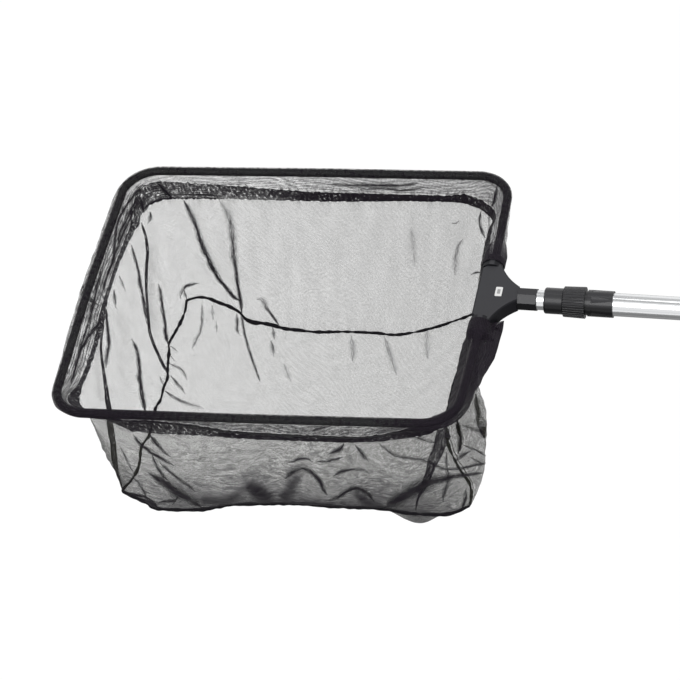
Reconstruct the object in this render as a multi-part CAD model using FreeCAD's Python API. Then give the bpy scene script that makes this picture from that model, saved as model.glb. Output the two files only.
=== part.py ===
import FreeCAD, Part
import math
import os

# Leaf skimmer net on a two-part telescopic pole with a twist lock.
# Millimetres. The pole's axis is the X axis, with the net at -X and the grip at +X, and +Z is up.
# The origin is the middle of the bare outer tube, where a hand or a wall clip holds the pole.
# The frame loop is built flat round the head's centre and then droops a little towards its outer end.

os.makedirs("parts", exist_ok=True)
Vec = FreeCAD.Vector

# Frame loop: a round tube bent into a rounded rectangle
FRAME_TUBE_D = 8.0
FRAME_TUBE_WALL = 1.0
FRAME_LENGTH = 390.0          # along the pole, between the corners' centre lines
FRAME_WIDTH = 336.0           # across the pole
FRAME_CORNER_R = 34.0
END_BOW = 2.8                 # outward bow of the two ends across the pole
SIDE_BOW = 1.0                # outward bow of the two sides along the pole
BOW_BEND_R = 1500.0           # bend radius in the middle of a bowed side
HEAD_BEND_R = 400.0           # bend radius just outside the head
HEAD_BEND_Y = 73.0            # that bend's distance from the pole's axis
FRAME_DROOP_DEG = 3.0
FRAME_END_GAP = 6.0           # between the tube's two ends, inside the head

# Head: two moulded shells round the frame tube
HEAD_WALL = 4.0               # over and under the frame tube
HEAD_BACK_WALL = 5.0          # from the frame tube to the head's net side
HEAD_HALF_SPAN = 38.0         # half of the flat part's length along the frame tube
HEAD_SHOULDER_X = 9.5
HEAD_WAIST_X = 18.5
HEAD_WAIST_Y = 21.5
HEAD_REACH = 31.0             # from the frame tube's centre line to the neck
HEAD_EDGE_ROUND = 1.8
HEAD_NECK_STEP = 0.9          # how far the neck stands out beside the head's end
HEAD_CORNER_CUT = 7.0
HOOD_WALL = 6.4               # the rounded hoods where the frame tube enters
HOOD_LENGTH = 14.0            # outside the flat part
HOOD_ROOT = 4.0               # inside the flat part
HOOD_END_ROUND = 5.5
LABEL_LENGTH = 12.2
LABEL_WIDTH = 6.6
LABEL_CENTRE_X = 12.3
LABEL_THICK = 0.9
LABEL_PROUD = 0.3
LABEL_CORNER_R = 1.0
FRAME_PIN_D = 3.0
FRAME_PIN_Y = 20.0
FRAME_PIN_REACH = 2.2         # out of the frame tube, above and below
SCREW_D = 3.0
SCREW_HEAD_D = 5.6
SCREW_HEAD_H = 2.0
SCREW_TIP = 5.0               # how far a screw reaches into the top shell
SCREW_RECESS = 2.4
SCREW_TUBE_GAP = 5.6          # from the frame tube's surface to the rear screws' axes
SCREW_REAR_Y = 27.0
SCREW_NECK_BACK = 8.0         # from the neck's front face to the front screws' axes
SCREW_FRONT_Y = 11.0

# Neck: an octagonal piece between the head and the inner tube
NECK_STAND_OUT = 0.9          # of its flats over the inner tube
NECK_LENGTH = 18.2
NECK_END_CHAMFER = 1.0
TONGUE_WIDTH = 12.0
TONGUE_HALF_THICK = 5.0
TONGUE_LENGTH = 16.0
TONGUE_HEAD_LENGTH = 5.0
TONGUE_HEAD_WIDTH = 18.0
NECK_SPIGOT_LENGTH = 30.0
NECK_SPIGOT_WALL = 2.95
NECK_PIN_D = 3.0
NECK_PIN_DEPTH = 3.4
NECK_PIN_BACK = 3.2           # from the neck's rear face to the pin's axis

# Pole
OUTER_TUBE_D = 22.0
TUBE_WALL = 1.0
BARE_LENGTH = 560.0           # outer tube between the lock collar and the grip
SHOWN_INNER = 6.8             # inner tube between the neck and the nut, pole closed
GRIP_LENGTH = 120.0
GRIP_WALL = 2.5
GRIP_GROOVES = 11
GRIP_GROOVE_R = 1.6
GRIP_GROOVE_DEPTH = 0.9
GRIP_END_MARGIN = 14.0
GRIP_END_ROUND = 1.4
CAP_PLUG_LENGTH = 20.0
CAP_PLUG_WALL = 4.95
CAP_FLANGE = 5.0
CAP_ROUND = 2.0
TAB_LENGTH = 24.0
TAB_THICK = 7.0
TAB_WIDTH = 19.0
HANG_HOLE_D = 9.0
BUSH_SHANK_LENGTH = 16.0
BUSH_FLANGE = 5.0
BUSH_WALL = 3.42
BUSH_CAP_GAP = 6.0            # from the bush to the end cap's plug, pole closed

# Twist lock
COLLAR_LENGTH = 24.4
COLLAR_RING = 3.4
COLLAR_WALL = 1.6
COLLAR_STOP = 3.4             # solid ring in front of the outer tube's end
COLLAR_FLUTES = 6
FLUTE_TURN = 30.0             # first flute, degrees about the pole from straight up
FLUTE_R = 9.0
FLUTE_DEPTH = 1.1             # at the flute's front end
FLUTE_RUN_OUT = 1.5           # from the flute's rear end to the collar's rear face
COLLAR_PIN_D = 3.0
COLLAR_PIN_BACK = 6.0         # from the collar's rear face to the pins' axes
COLLAR_PIN_TURNS = (180.0, 300.0)   # degrees about the pole from straight up
SPIGOT_REACH = 15.0           # the collar's spigot, into the nut
SPIGOT_WALL = 1.7
NUT_GAP = 2.4                 # between nut and collar, locked
NUT_FRONT_LENGTH = 18.6
NUT_RIBBED_LENGTH = 20.5
NUT_WALL = 1.3                # over the collet
NUT_LIP = 2.6                 # front wall in front of the thrust ring
NUT_RIB_WALL = 2.9            # over the spigot's thread
NUT_FLARE = 0.6               # how much wider the ribbed part's rear end is, on the radius
NUT_RIBS = 36
NUT_RIB_GROOVE_R = 0.8
NUT_RIB_GROOVE_DEPTH = 0.55
NUT_FRONT_ROUND = 1.8
NUT_STEP_RAMP = 1.0           # length of the slope between the nut's two widths
COLLET_WALL = 1.5
COLLET_SLOTS = 4
COLLET_SLOT_WIDTH = 1.2
COLLET_SLOT_TURN = 45.0       # first slot, degrees about the pole from straight up
COLLET_SLOT_SHARE = 0.7       # of the collet's length
COLLET_NOSE_WALL = 0.55
RING_LENGTH = 5.0

# Net cloth. The layers are drawn thicker than the cloth itself.
BAG_DEPTH = 166.0             # from the frame tube's centre line to the floor's seam
BAG_TAPER_LENGTH = 60.0       # how much shorter the floor is than the frame
BAG_TAPER_WIDTH = 78.0
BAG_SHIFT = 13.0              # floor's offset towards the pole
BAG_FLOOR_CORNER_R = 30.0
CLOTH_THICK = 0.6
SLEEVE_INNER_GAP = 0.3
SLEEVE_THICK = 0.6
SLEEVE_SKIRT_THICK = 1.2
SLEEVE_DROP = 22.0            # from the tube's centre line to the hem
SLEEVE_HEAD_GAP = 1.0         # between the sleeve's cut ends and the hoods
HEM_DROP = 30.0               # lower edge of the hem
HEM_THICK = 2.0
FLOOR_SAG = 12.0
FLOOR_FLAT_SHARE = 0.6        # of the floor's length that lies flat at the bottom
FLOOR_FLAT_CORNER_R = 15.0
BINDING_R = 1.0
CORNER_SLIT = 0.4             # between two wall panels
SEAM_TAPE_WIDTH = 6.0
SEAM_TAPE_THICK = 0.5

# Clearances
FIT_GAP = 0.05                # radial, between pieces of one body
RUN_GAP = 0.08                # radial, for a shaft that turns or slides in its bore
SLIDE_GAP = 0.5               # radial, inner tube in outer tube
FREE_GAP = 0.3                # radial, where nothing is meant to touch

# Values worked out from those above
frame_r = FRAME_TUBE_D / 2
head_half_thick = frame_r + HEAD_WALL
head_back = frame_r + HEAD_BACK_WALL
hood_r = frame_r + HOOD_WALL
hood_half_span = HEAD_HALF_SPAN + HOOD_LENGTH
frame_pin_half = frame_r + FRAME_PIN_REACH
outer_r = OUTER_TUBE_D / 2
outer_bore_r = outer_r - TUBE_WALL
inner_r = outer_bore_r - SLIDE_GAP
inner_bore_r = inner_r - TUBE_WALL
neck_half = inner_r + NECK_STAND_OUT
neck_spigot_r = inner_bore_r - FIT_GAP
collet_bore_r = inner_r + RUN_GAP
collet_r = collet_bore_r + COLLET_WALL
nut_bore_r = collet_r + RUN_GAP
spigot_bore_r = inner_r + FREE_GAP
spigot_r = spigot_bore_r + SPIGOT_WALL
thread_bore_r = spigot_r + RUN_GAP
nut_front_r = nut_bore_r + NUT_WALL
nut_rib_r = thread_bore_r + NUT_RIB_WALL
collar_r = outer_r + FIT_GAP + COLLAR_WALL
grip_r = outer_r + GRIP_WALL
screw_rear_x = frame_r + SCREW_TUBE_GAP
screw_front_x = HEAD_REACH - SCREW_NECK_BACK

# Stations along the pole
collar_rear_x = -BARE_LENGTH / 2
collar_front_x = collar_rear_x - COLLAR_LENGTH
nut_rear_x = collar_front_x - NUT_GAP
nut_step_x = nut_rear_x - NUT_RIBBED_LENGTH
nut_front_x = nut_step_x - NUT_FRONT_LENGTH
neck_rear_x = nut_front_x - SHOWN_INNER
neck_front_x = neck_rear_x - NECK_LENGTH
head_x = neck_front_x - HEAD_REACH
outer_front_x = collar_front_x + COLLAR_STOP
spigot_front_x = collar_front_x - SPIGOT_REACH
grip_front_x = BARE_LENGTH / 2
pole_rear_x = grip_front_x + GRIP_LENGTH
inner_rear_x = pole_rear_x - CAP_PLUG_LENGTH - BUSH_CAP_GAP - BUSH_FLANGE
ring_front_x = nut_front_x + NUT_LIP + FIT_GAP
ring_rear_x = ring_front_x + RING_LENGTH

X_AXIS = Vec(1, 0, 0)
Y_AXIS = Vec(0, 1, 0)
Z_AXIS = Vec(0, 0, 1)
HEAD_CENTRE = Vec(head_x, 0, 0)
FAR = 1000.0                  # longer than anything that a cutter has to pass
CORNERS = ((1, 1), (-1, 1), (-1, -1), (1, -1))


def save(shape, name):
    shape.exportStep("parts/" + name + ".step")


def save_group(shapes, name):
    save(Part.makeCompound(shapes), name)


def fused(shapes):
    whole = shapes[0].multiFuse(shapes[1:])
    return whole.removeSplitter()


def rod(radius, x0, x1):
    return Part.makeCylinder(radius, x1 - x0, Vec(x0, 0, 0), X_AXIS)


def pipe(radius, bore, x0, x1):
    return rod(radius, x0, x1).cut(rod(bore, x0, x1))


def turned(profile):
    """A solid turned about the X axis from (x, radius) points."""
    points = [Vec(x, 0, radius) for x, radius in profile]
    face = Part.Face(Part.makePolygon(points + points[:1]))
    return face.revolve(Vec(0, 0, 0), X_AXIS, 360)


def around_pole(shape, angle):
    turned_copy = shape.copy()
    turned_copy.rotate(Vec(0, 0, 0), X_AXIS, angle)
    return turned_copy


def mirrored_y(shape):
    return shape.mirror(Vec(0, 0, 0), Y_AXIS)


def block(x0, x1, y0, y1, z0, z1):
    return Part.makeBox(x1 - x0, y1 - y0, z1 - z0, Vec(x0, y0, z0))


def placed_head(shape):
    """From the head's own coordinates to the pole's."""
    moved = shape.copy()
    moved.translate(HEAD_CENTRE)
    return moved


def drooped(shape):
    """From the flat frame loop's coordinates to the pole's."""
    moved = shape.copy()
    moved.rotate(Vec(0, 0, 0), Y_AXIS, -FRAME_DROOP_DEG)
    moved.translate(HEAD_CENTRE)
    return moved


# Frame loop

def rounded_path(points, radii):
    """An open wire of straight runs with a tangent arc at each inner point."""
    edges = []
    start = points[0]
    for before, corner, after, radius in zip(points, points[1:], points[2:], radii):
        back = (before - corner).normalize()
        ahead = (after - corner).normalize()
        half_angle = back.getAngle(ahead) / 2
        setback = radius / math.tan(half_angle)
        arc_start = corner + back * setback
        arc_end = corner + ahead * setback
        centre_way = (back + ahead).normalize()
        centre = corner + centre_way * (radius / math.sin(half_angle))
        arc_middle = centre - centre_way * radius
        edges.append(Part.LineSegment(start, arc_start).toShape())
        edges.append(Part.Arc(arc_start, arc_middle, arc_end).toShape())
        start = arc_end
    edges.append(Part.LineSegment(start, points[-1]).toShape())
    return Part.Wire(edges)


def frame_path():
    near_x = -END_BOW
    far_x = -END_BOW - FRAME_LENGTH
    middle_x = (near_x + far_x) / 2
    side_y = FRAME_WIDTH / 2
    bowed_y = side_y + SIDE_BOW
    half = [
        (Vec(0, FRAME_END_GAP / 2, 0), None),
        (Vec(0, HEAD_BEND_Y, 0), HEAD_BEND_R),
        (Vec(near_x, side_y, 0), FRAME_CORNER_R),
        (Vec(middle_x, bowed_y, 0), BOW_BEND_R),
        (Vec(far_x, side_y, 0), FRAME_CORNER_R),
    ]
    outer_end = (Vec(far_x - END_BOW, 0, 0), BOW_BEND_R)
    other_half = [(Vec(point.x, -point.y, 0), radius) for point, radius in reversed(half)]
    whole = half + [outer_end] + other_half
    points = [point for point, radius in whole]
    radii = [radius for point, radius in whole[1:-1]]
    return rounded_path(points, radii)


def swept_round(path, radius):
    start = path.Edges[0]
    profile = Part.Wire(Part.makeCircle(radius, start.Vertexes[0].Point, Y_AXIS))
    return path.makePipeShell([profile], True, True)


def frame_pin_holes(radius, half_length):
    holes = []
    for side in (1, -1):
        base = Vec(0, side * FRAME_PIN_Y, -half_length)
        holes.append(Part.makeCylinder(radius, 2 * half_length, base, Z_AXIS))
    return holes


path = frame_path()
frame_outer = swept_round(path, frame_r)
frame_bore = swept_round(path, frame_r - FRAME_TUBE_WALL)
frame_tube = frame_outer.cut(frame_bore)
frame_tube = frame_tube.cut(Part.makeCompound(frame_pin_holes(FRAME_PIN_D / 2 + FIT_GAP, FRAME_TUBE_D)))
save(drooped(frame_tube), "frame_tube")
save_group([drooped(pin) for pin in frame_pin_holes(FRAME_PIN_D / 2, frame_pin_half)], "frame_end_pins")


# Head

def head_outline():
    """The plan outline of the flat part, as a closed wire."""
    span = HEAD_HALF_SPAN
    corner = HEAD_CORNER_CUT
    half_neck = neck_half - HEAD_NECK_STEP
    far_side = Part.Arc(
        Vec(HEAD_REACH, half_neck, 0),
        Vec(HEAD_WAIST_X, HEAD_WAIST_Y, 0),
        Vec(HEAD_SHOULDER_X, span, 0),
    ).toShape()
    near_side = mirrored_y(far_side)
    back = [
        Vec(HEAD_SHOULDER_X, span, 0),
        Vec(-head_back + corner, span, 0),
        Vec(-head_back, span - corner, 0),
        Vec(-head_back, -span + corner, 0),
        Vec(-head_back + corner, -span, 0),
        Vec(HEAD_SHOULDER_X, -span, 0),
    ]
    front = Part.makePolygon([Vec(HEAD_REACH, -half_neck, 0), Vec(HEAD_REACH, half_neck, 0)])
    edges = [far_side, near_side] + Part.makePolygon(back).Edges + front.Edges
    return Part.Wire(Part.__sortEdges__(edges))


def head_body():
    plate = Part.Face(head_outline()).extrude(Z_AXIS * (2 * head_half_thick))
    plate.translate(Vec(0, 0, -head_half_thick))
    rims = [
        edge for edge in plate.Edges
        if abs(abs(edge.CenterOfMass.z) - head_half_thick) < FIT_GAP
        and edge.BoundBox.XMax < HEAD_REACH + FIT_GAP
        and edge.BoundBox.XLength + edge.BoundBox.YLength > HEAD_CORNER_CUT / 2
        and edge.CenterOfMass.x < HEAD_REACH - FIT_GAP
    ]
    plate = plate.makeFillet(HEAD_EDGE_ROUND, rims)
    hoods = []
    for side in (1, -1):
        base = Vec(0, side * (HEAD_HALF_SPAN - HOOD_ROOT), 0)
        hood = Part.makeCylinder(hood_r, HOOD_ROOT + HOOD_LENGTH, base, Y_AXIS * side)
        outer_rim = [
            edge for edge in hood.Edges
            if abs(edge.CenterOfMass.y - side * hood_half_span) < FIT_GAP
        ]
        hoods.append(hood.makeFillet(HOOD_END_ROUND, outer_rim))
    return fused([plate] + hoods)


def tongue(gap):
    """The neck's T-shaped tongue, or its pocket when the gap is more than nothing."""
    width = TONGUE_WIDTH / 2 + gap
    thick = TONGUE_HALF_THICK + gap
    head_width = TONGUE_HEAD_WIDTH / 2 + gap
    back_x = HEAD_REACH - TONGUE_LENGTH
    stem = block(back_x, HEAD_REACH, -width, width, -thick, thick)
    cross = block(back_x - gap, back_x + TONGUE_HEAD_LENGTH + gap, -head_width, head_width, -thick, thick)
    return stem.fuse(cross)


def screw_axes():
    places = []
    for side in (1, -1):
        places.append((screw_rear_x, side * SCREW_REAR_Y))
        places.append((screw_front_x, side * SCREW_FRONT_Y))
    return places


def screw(x, y, gap):
    """A pan-head screw from below, or the hole that it needs when the gap is more than nothing."""
    shank_low = -head_half_thick + SCREW_RECESS
    shank = Part.makeCylinder(SCREW_D / 2 + gap, SCREW_TIP - shank_low + gap, Vec(x, y, shank_low), Z_AXIS)
    head_low = shank_low - SCREW_HEAD_H - (SCREW_RECESS if gap else 0)
    head = Part.makeCylinder(SCREW_HEAD_D / 2 + gap, shank_low - head_low, Vec(x, y, head_low), Z_AXIS)
    return head.fuse(shank)


def label_block(gap):
    half_x = LABEL_WIDTH / 2 + gap
    half_y = LABEL_LENGTH / 2 + gap
    top = head_half_thick + LABEL_PROUD
    plate = block(
        LABEL_CENTRE_X - half_x, LABEL_CENTRE_X + half_x, -half_y, half_y, top - LABEL_THICK, top
    )
    upright = [edge for edge in plate.Edges if edge.BoundBox.ZLength > LABEL_THICK / 2]
    return plate.makeFillet(LABEL_CORNER_R, upright)


frame_channel = Part.makeCylinder(
    frame_r + FIT_GAP, 2 * hood_half_span + FRAME_TUBE_D, Vec(0, -hood_half_span - frame_r, 0), Y_AXIS
)
end_stop = Part.makeCylinder(frame_r + 2 * FIT_GAP, FRAME_END_GAP - 2 * FIT_GAP,
                             Vec(0, -FRAME_END_GAP / 2 + FIT_GAP, 0), Y_AXIS)
pin_holes = frame_pin_holes(FRAME_PIN_D / 2 + FIT_GAP, frame_pin_half + FIT_GAP)
head_cuts = [frame_channel.cut(end_stop), tongue(FIT_GAP)]
head_cuts += [screw(x, y, FIT_GAP) for x, y in screw_axes()]
for hole in pin_holes:
    tilted = hole.copy()
    tilted.rotate(Vec(0, 0, 0), Y_AXIS, -FRAME_DROOP_DEG)
    head_cuts.append(tilted)
head = head_body().cut(Part.makeCompound(head_cuts))
upper_half = block(-FAR, FAR, -FAR, FAR, 0, FAR)
lower_half = block(-FAR, FAR, -FAR, FAR, -FAR, 0)
save(placed_head(head.common(upper_half).cut(label_block(FIT_GAP))), "head_top_shell")
save(placed_head(head.common(lower_half)), "head_bottom_shell")
save_group([placed_head(screw(x, y, 0)) for x, y in screw_axes()], "head_screws")
save(placed_head(label_block(0)), "label_plate")


# Neck

def octagon_bar(corner_r, x0, x1):
    angles = [math.pi / 8 + side * math.pi / 4 for side in range(8)]
    points = [Vec(x0, corner_r * math.cos(angle), corner_r * math.sin(angle)) for angle in angles]
    return Part.Face(Part.makePolygon(points + points[:1])).extrude(X_AXIS * (x1 - x0))


neck_corner_r = neck_half / math.cos(math.pi / 8)
neck_flats = octagon_bar(neck_corner_r, neck_front_x, neck_rear_x)
neck_chamfer = turned([
    (neck_front_x, 0),
    (neck_front_x, neck_corner_r),
    (neck_rear_x - NECK_END_CHAMFER, neck_corner_r),
    (neck_rear_x, neck_corner_r - NECK_END_CHAMFER),
    (neck_rear_x, 0),
])
neck_body = neck_flats.common(neck_chamfer)
neck_spigot = rod(neck_spigot_r, neck_rear_x, neck_rear_x + NECK_SPIGOT_LENGTH)
neck = fused([neck_body, neck_spigot, placed_head(tongue(0))])
neck = neck.cut(rod(neck_spigot_r - NECK_SPIGOT_WALL, neck_rear_x, neck_rear_x + NECK_SPIGOT_LENGTH))


def neck_pin_shape(gap):
    axis_x = neck_rear_x + NECK_PIN_BACK
    tip = Vec(axis_x, 0, -inner_r)
    return Part.makeCylinder(NECK_PIN_D / 2 + gap, NECK_PIN_DEPTH, tip, Z_AXIS)


flush_with_tube = rod(inner_r, neck_rear_x, neck_rear_x + NECK_SPIGOT_LENGTH)
save(neck.cut(neck_pin_shape(FIT_GAP)), "neck_socket")
save(neck_pin_shape(0).common(flush_with_tube), "neck_pin")


# Pole

inner_tube = pipe(inner_r, inner_bore_r, neck_rear_x, inner_rear_x)
save(inner_tube.cut(neck_pin_shape(FIT_GAP)), "inner_tube")

bush_shank_x = inner_rear_x - BUSH_SHANK_LENGTH
bush_shank_r = inner_bore_r - RUN_GAP
bush = turned([
    (bush_shank_x, bush_shank_r - BUSH_WALL),
    (bush_shank_x, bush_shank_r),
    (inner_rear_x + FIT_GAP, bush_shank_r),
    (inner_rear_x + FIT_GAP, outer_bore_r - RUN_GAP),
    (inner_rear_x + BUSH_FLANGE, outer_bore_r - RUN_GAP),
    (inner_rear_x + BUSH_FLANGE, bush_shank_r - BUSH_WALL),
])
save(bush, "guide_bush")


def collar_pin_shapes(gap):
    """Two pins across the collar and the outer tube, below and on the far side."""
    axis = Vec(collar_rear_x - COLLAR_PIN_BACK, 0, 0)
    upright = Part.makeCylinder(COLLAR_PIN_D / 2 + gap, 2 * collar_r, axis, Z_AXIS)
    return [around_pole(upright, turn) for turn in COLLAR_PIN_TURNS]


outer_tube = pipe(outer_r, outer_bore_r, outer_front_x, pole_rear_x)
outer_tube = outer_tube.cut(Part.makeCompound(collar_pin_shapes(FIT_GAP)))
save(outer_tube, "outer_tube")


def grip():
    body = pipe(grip_r, outer_r + FIT_GAP, grip_front_x, pole_rear_x)
    rims = [
        edge for edge in body.Edges
        if edge.Curve.TypeId == "Part::GeomCircle" and edge.Curve.Radius > outer_r + GRIP_WALL / 2
    ]
    body = body.makeFillet(GRIP_END_ROUND, rims)
    pitch = (GRIP_LENGTH - 2 * GRIP_END_MARGIN) / (GRIP_GROOVES - 1)
    grooves = []
    for number in range(GRIP_GROOVES):
        ring_x = grip_front_x + GRIP_END_MARGIN + number * pitch
        ring_r = grip_r + GRIP_GROOVE_R - GRIP_GROOVE_DEPTH
        grooves.append(Part.makeTorus(ring_r, GRIP_GROOVE_R, Vec(ring_x, 0, 0), X_AXIS))
    return body.cut(Part.makeCompound(grooves))


save(grip(), "grip_sleeve")


def end_cap():
    plug_r = outer_bore_r - FIT_GAP
    plug = pipe(plug_r, plug_r - CAP_PLUG_WALL, pole_rear_x - CAP_PLUG_LENGTH, pole_rear_x)
    flange = rod(grip_r, pole_rear_x, pole_rear_x + CAP_FLANGE)
    rear_rim = [edge for edge in flange.Edges if edge.CenterOfMass.x > pole_rear_x + CAP_FLANGE - FIT_GAP]
    flange = flange.makeFillet(CAP_ROUND, rear_rim)
    tab_end_x = pole_rear_x + CAP_FLANGE + TAB_LENGTH - TAB_WIDTH / 2
    straight = block(
        pole_rear_x + CAP_FLANGE / 2, tab_end_x, -TAB_THICK / 2, TAB_THICK / 2, -TAB_WIDTH / 2, TAB_WIDTH / 2
    )
    end_round = Part.makeCylinder(TAB_WIDTH / 2, TAB_THICK, Vec(tab_end_x, -TAB_THICK / 2, 0), Y_AXIS)
    hole = Part.makeCylinder(HANG_HOLE_D / 2, TAB_THICK, Vec(tab_end_x, -TAB_THICK / 2, 0), Y_AXIS)
    return fused([plug, flange, straight, end_round]).cut(hole)


save(end_cap(), "end_cap")


# Twist lock

def flute_cutters():
    """Slanted round bars that cut deepest at the collar's front and run out before its rear."""
    front_x = collar_front_x + COLLAR_RING
    run = COLLAR_LENGTH - COLLAR_RING - FLUTE_RUN_OUT
    slope = math.atan2(FLUTE_DEPTH, run)
    axis_r = collar_r + FLUTE_R - FLUTE_DEPTH
    start = Vec(front_x, 0, axis_r)
    way = Vec(math.cos(slope), 0, math.sin(slope))
    bar = Part.makeCylinder(FLUTE_R, COLLAR_LENGTH, start, way)
    turns = [FLUTE_TURN + number * 360 / COLLAR_FLUTES for number in range(COLLAR_FLUTES)]
    return [around_pole(bar, turn) for turn in turns]


collar_profile = turned([
    (spigot_front_x, spigot_bore_r),
    (spigot_front_x, spigot_r),
    (collar_front_x, spigot_r),
    (collar_front_x, collar_r),
    (collar_rear_x, collar_r),
    (collar_rear_x, outer_r + FIT_GAP),
    (outer_front_x, outer_r + FIT_GAP),
    (outer_front_x, spigot_bore_r),
])
collar = collar_profile.cut(Part.makeCompound(flute_cutters()))
collar = collar.cut(Part.makeCompound(collar_pin_shapes(FIT_GAP)))
save(collar, "lock_collar")

pin_band = pipe(collar_r, outer_bore_r, outer_front_x, collar_rear_x)
save_group([pin.common(pin_band) for pin in collar_pin_shapes(0)], "collar_pins")

cone_front_r = collet_bore_r + COLLET_NOSE_WALL
cone_rear_r = collet_r - FIT_GAP
nose_front_x = ring_front_x + FREE_GAP
collet_profile = turned([
    (nose_front_x, collet_bore_r),
    (nose_front_x, cone_front_r - RUN_GAP),
    (ring_rear_x, cone_rear_r - RUN_GAP),
    (ring_rear_x + FREE_GAP, collet_r),
    (spigot_front_x, collet_r),
    (spigot_front_x, collet_bore_r),
])
slot_rear_x = nose_front_x + COLLET_SLOT_SHARE * (spigot_front_x - nose_front_x)
slots = []
for number in range(COLLET_SLOTS):
    slot = block(nose_front_x, slot_rear_x, -COLLET_SLOT_WIDTH / 2, COLLET_SLOT_WIDTH / 2, 0, collar_r)
    slots.append(around_pole(slot, COLLET_SLOT_TURN + number * 360 / COLLET_SLOTS))
save(collet_profile.cut(Part.makeCompound(slots)), "collet")

ring = turned([
    (ring_front_x, collet_bore_r + FREE_GAP - RUN_GAP),
    (ring_front_x, nut_bore_r - RUN_GAP),
    (ring_rear_x, nut_bore_r - RUN_GAP),
    (ring_rear_x, cone_rear_r),
    (ring_front_x + FREE_GAP, cone_front_r),
])
save(ring, "thrust_ring")


def rib_grooves():
    slope = math.atan2(NUT_FLARE, NUT_RIBBED_LENGTH)
    axis_r = nut_rib_r + NUT_RIB_GROOVE_R - NUT_RIB_GROOVE_DEPTH
    way = Vec(math.cos(slope), 0, math.sin(slope))
    bar = Part.makeCylinder(NUT_RIB_GROOVE_R, NUT_RIBBED_LENGTH + NUT_GAP, Vec(nut_step_x, 0, axis_r), way)
    return [around_pole(bar, number * 360 / NUT_RIBS) for number in range(NUT_RIBS)]


def lock_nut():
    body = turned([
        (nut_front_x, inner_r + FREE_GAP),
        (nut_front_x, nut_front_r),
        (nut_step_x - NUT_STEP_RAMP, nut_front_r),
        (nut_step_x, nut_rib_r),
        (nut_rear_x, nut_rib_r + NUT_FLARE),
        (nut_rear_x, thread_bore_r),
        (spigot_front_x - FREE_GAP, thread_bore_r),
        (spigot_front_x - FREE_GAP, nut_bore_r),
        (nut_front_x + NUT_LIP, nut_bore_r),
        (nut_front_x + NUT_LIP, inner_r + FREE_GAP),
    ])
    front_rim = [
        edge for edge in body.Edges
        if edge.BoundBox.XMax < nut_front_x + FIT_GAP and edge.BoundBox.ZMax > nut_front_r - FIT_GAP
    ]
    body = body.makeFillet(NUT_FRONT_ROUND, front_rim)
    return body.cut(Part.makeCompound(rib_grooves()))


save(lock_nut(), "lock_nut")


# Net cloth

def rounded_rectangle(centre_x, half_length, half_width, corner_r, height):
    """A level closed wire of four arcs and four straight runs."""
    flat_x = half_length - corner_r
    flat_y = half_width - corner_r
    diagonal = corner_r * math.sqrt(0.5)
    edges = []
    for sign_x, sign_y in CORNERS:
        arc_ends = [
            Vec(centre_x + sign_x * half_length, sign_y * flat_y, height),
            Vec(centre_x + sign_x * flat_x, sign_y * half_width, height),
        ]
        if sign_x * sign_y < 0:
            arc_ends.reverse()
        middle = Vec(centre_x + sign_x * (flat_x + diagonal), sign_y * (flat_y + diagonal), height)
        if edges:
            edges.append(Part.LineSegment(edges[-1].lastVertex().Point, arc_ends[0]).toShape())
        edges.append(Part.Arc(arc_ends[0], middle, arc_ends[1]).toShape())
    edges.append(Part.LineSegment(edges[-1].lastVertex().Point, edges[0].firstVertex().Point).toShape())
    return Part.Wire(edges)


def bag_section(drop):
    """Centre, half length, half width and corner radius of the bag at a drop below the tube."""
    share = drop / BAG_DEPTH
    centre_x = -END_BOW - FRAME_LENGTH / 2 + share * BAG_SHIFT
    half_length = FRAME_LENGTH / 2 - share * BAG_TAPER_LENGTH / 2
    half_width = FRAME_WIDTH / 2 - share * BAG_TAPER_WIDTH / 2
    corner_r = FRAME_CORNER_R + share * (BAG_FLOOR_CORNER_R - FRAME_CORNER_R)
    return centre_x, half_length, half_width, corner_r


def section_wire(drop, inset, height):
    centre_x, half_length, half_width, corner_r = bag_section(drop)
    return rounded_rectangle(centre_x, half_length - inset, half_width - inset, corner_r - inset, height)


def tapered_solid(top_drop, low_drop, inset):
    top = section_wire(top_drop, inset, -top_drop)
    low = section_wire(low_drop, inset, -low_drop)
    return Part.makeLoft([top, low], True, True)


def tapered_ring(top_drop, low_drop, outset, inset):
    """A band of the bag's wall between two drops below the frame tube."""
    return tapered_solid(top_drop, low_drop, -outset).cut(tapered_solid(top_drop, low_drop, inset))


def corner_slab(sign_x, sign_y, width):
    """An upright slab of the given width that follows one corner of the bag from frame to floor."""
    corners = []
    for drop in (0, BAG_DEPTH):
        centre_x, half_length, half_width, corner_r = bag_section(drop)
        out = corner_r * (1 - math.sqrt(0.5))
        corners.append(Vec(centre_x + sign_x * (half_length - out), sign_y * (half_width - out), 0))
    top, low = corners
    way = (low - top).normalize()
    angle = math.degrees(math.atan2(way.y, way.x))
    reach = FRAME_CORNER_R + (low - top).Length
    slab = block(-FRAME_CORNER_R, reach, -width / 2, width / 2, -BAG_DEPTH, 0)
    slab.rotate(Vec(0, 0, 0), Z_AXIS, angle)
    slab.translate(top)
    return slab


def rim_sleeve():
    """Cloth round the frame tube, open at the head, with a skirt down to the hem."""
    round_part = swept_round(path, frame_r + SLEEVE_INNER_GAP + SLEEVE_THICK)
    skirt = tapered_ring(frame_r - SLEEVE_THICK, SLEEVE_DROP, 0, SLEEVE_SKIRT_THICK)
    sleeve = round_part.fuse(skirt).cut(swept_round(path, frame_r + SLEEVE_INNER_GAP))
    notch_half = hood_half_span + SLEEVE_HEAD_GAP
    notch_low = hood_r + SLEEVE_HEAD_GAP
    notch = block(-FRAME_CORNER_R, FRAME_CORNER_R, -notch_half, notch_half, -notch_low, notch_low)
    return sleeve.cut(notch)


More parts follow.
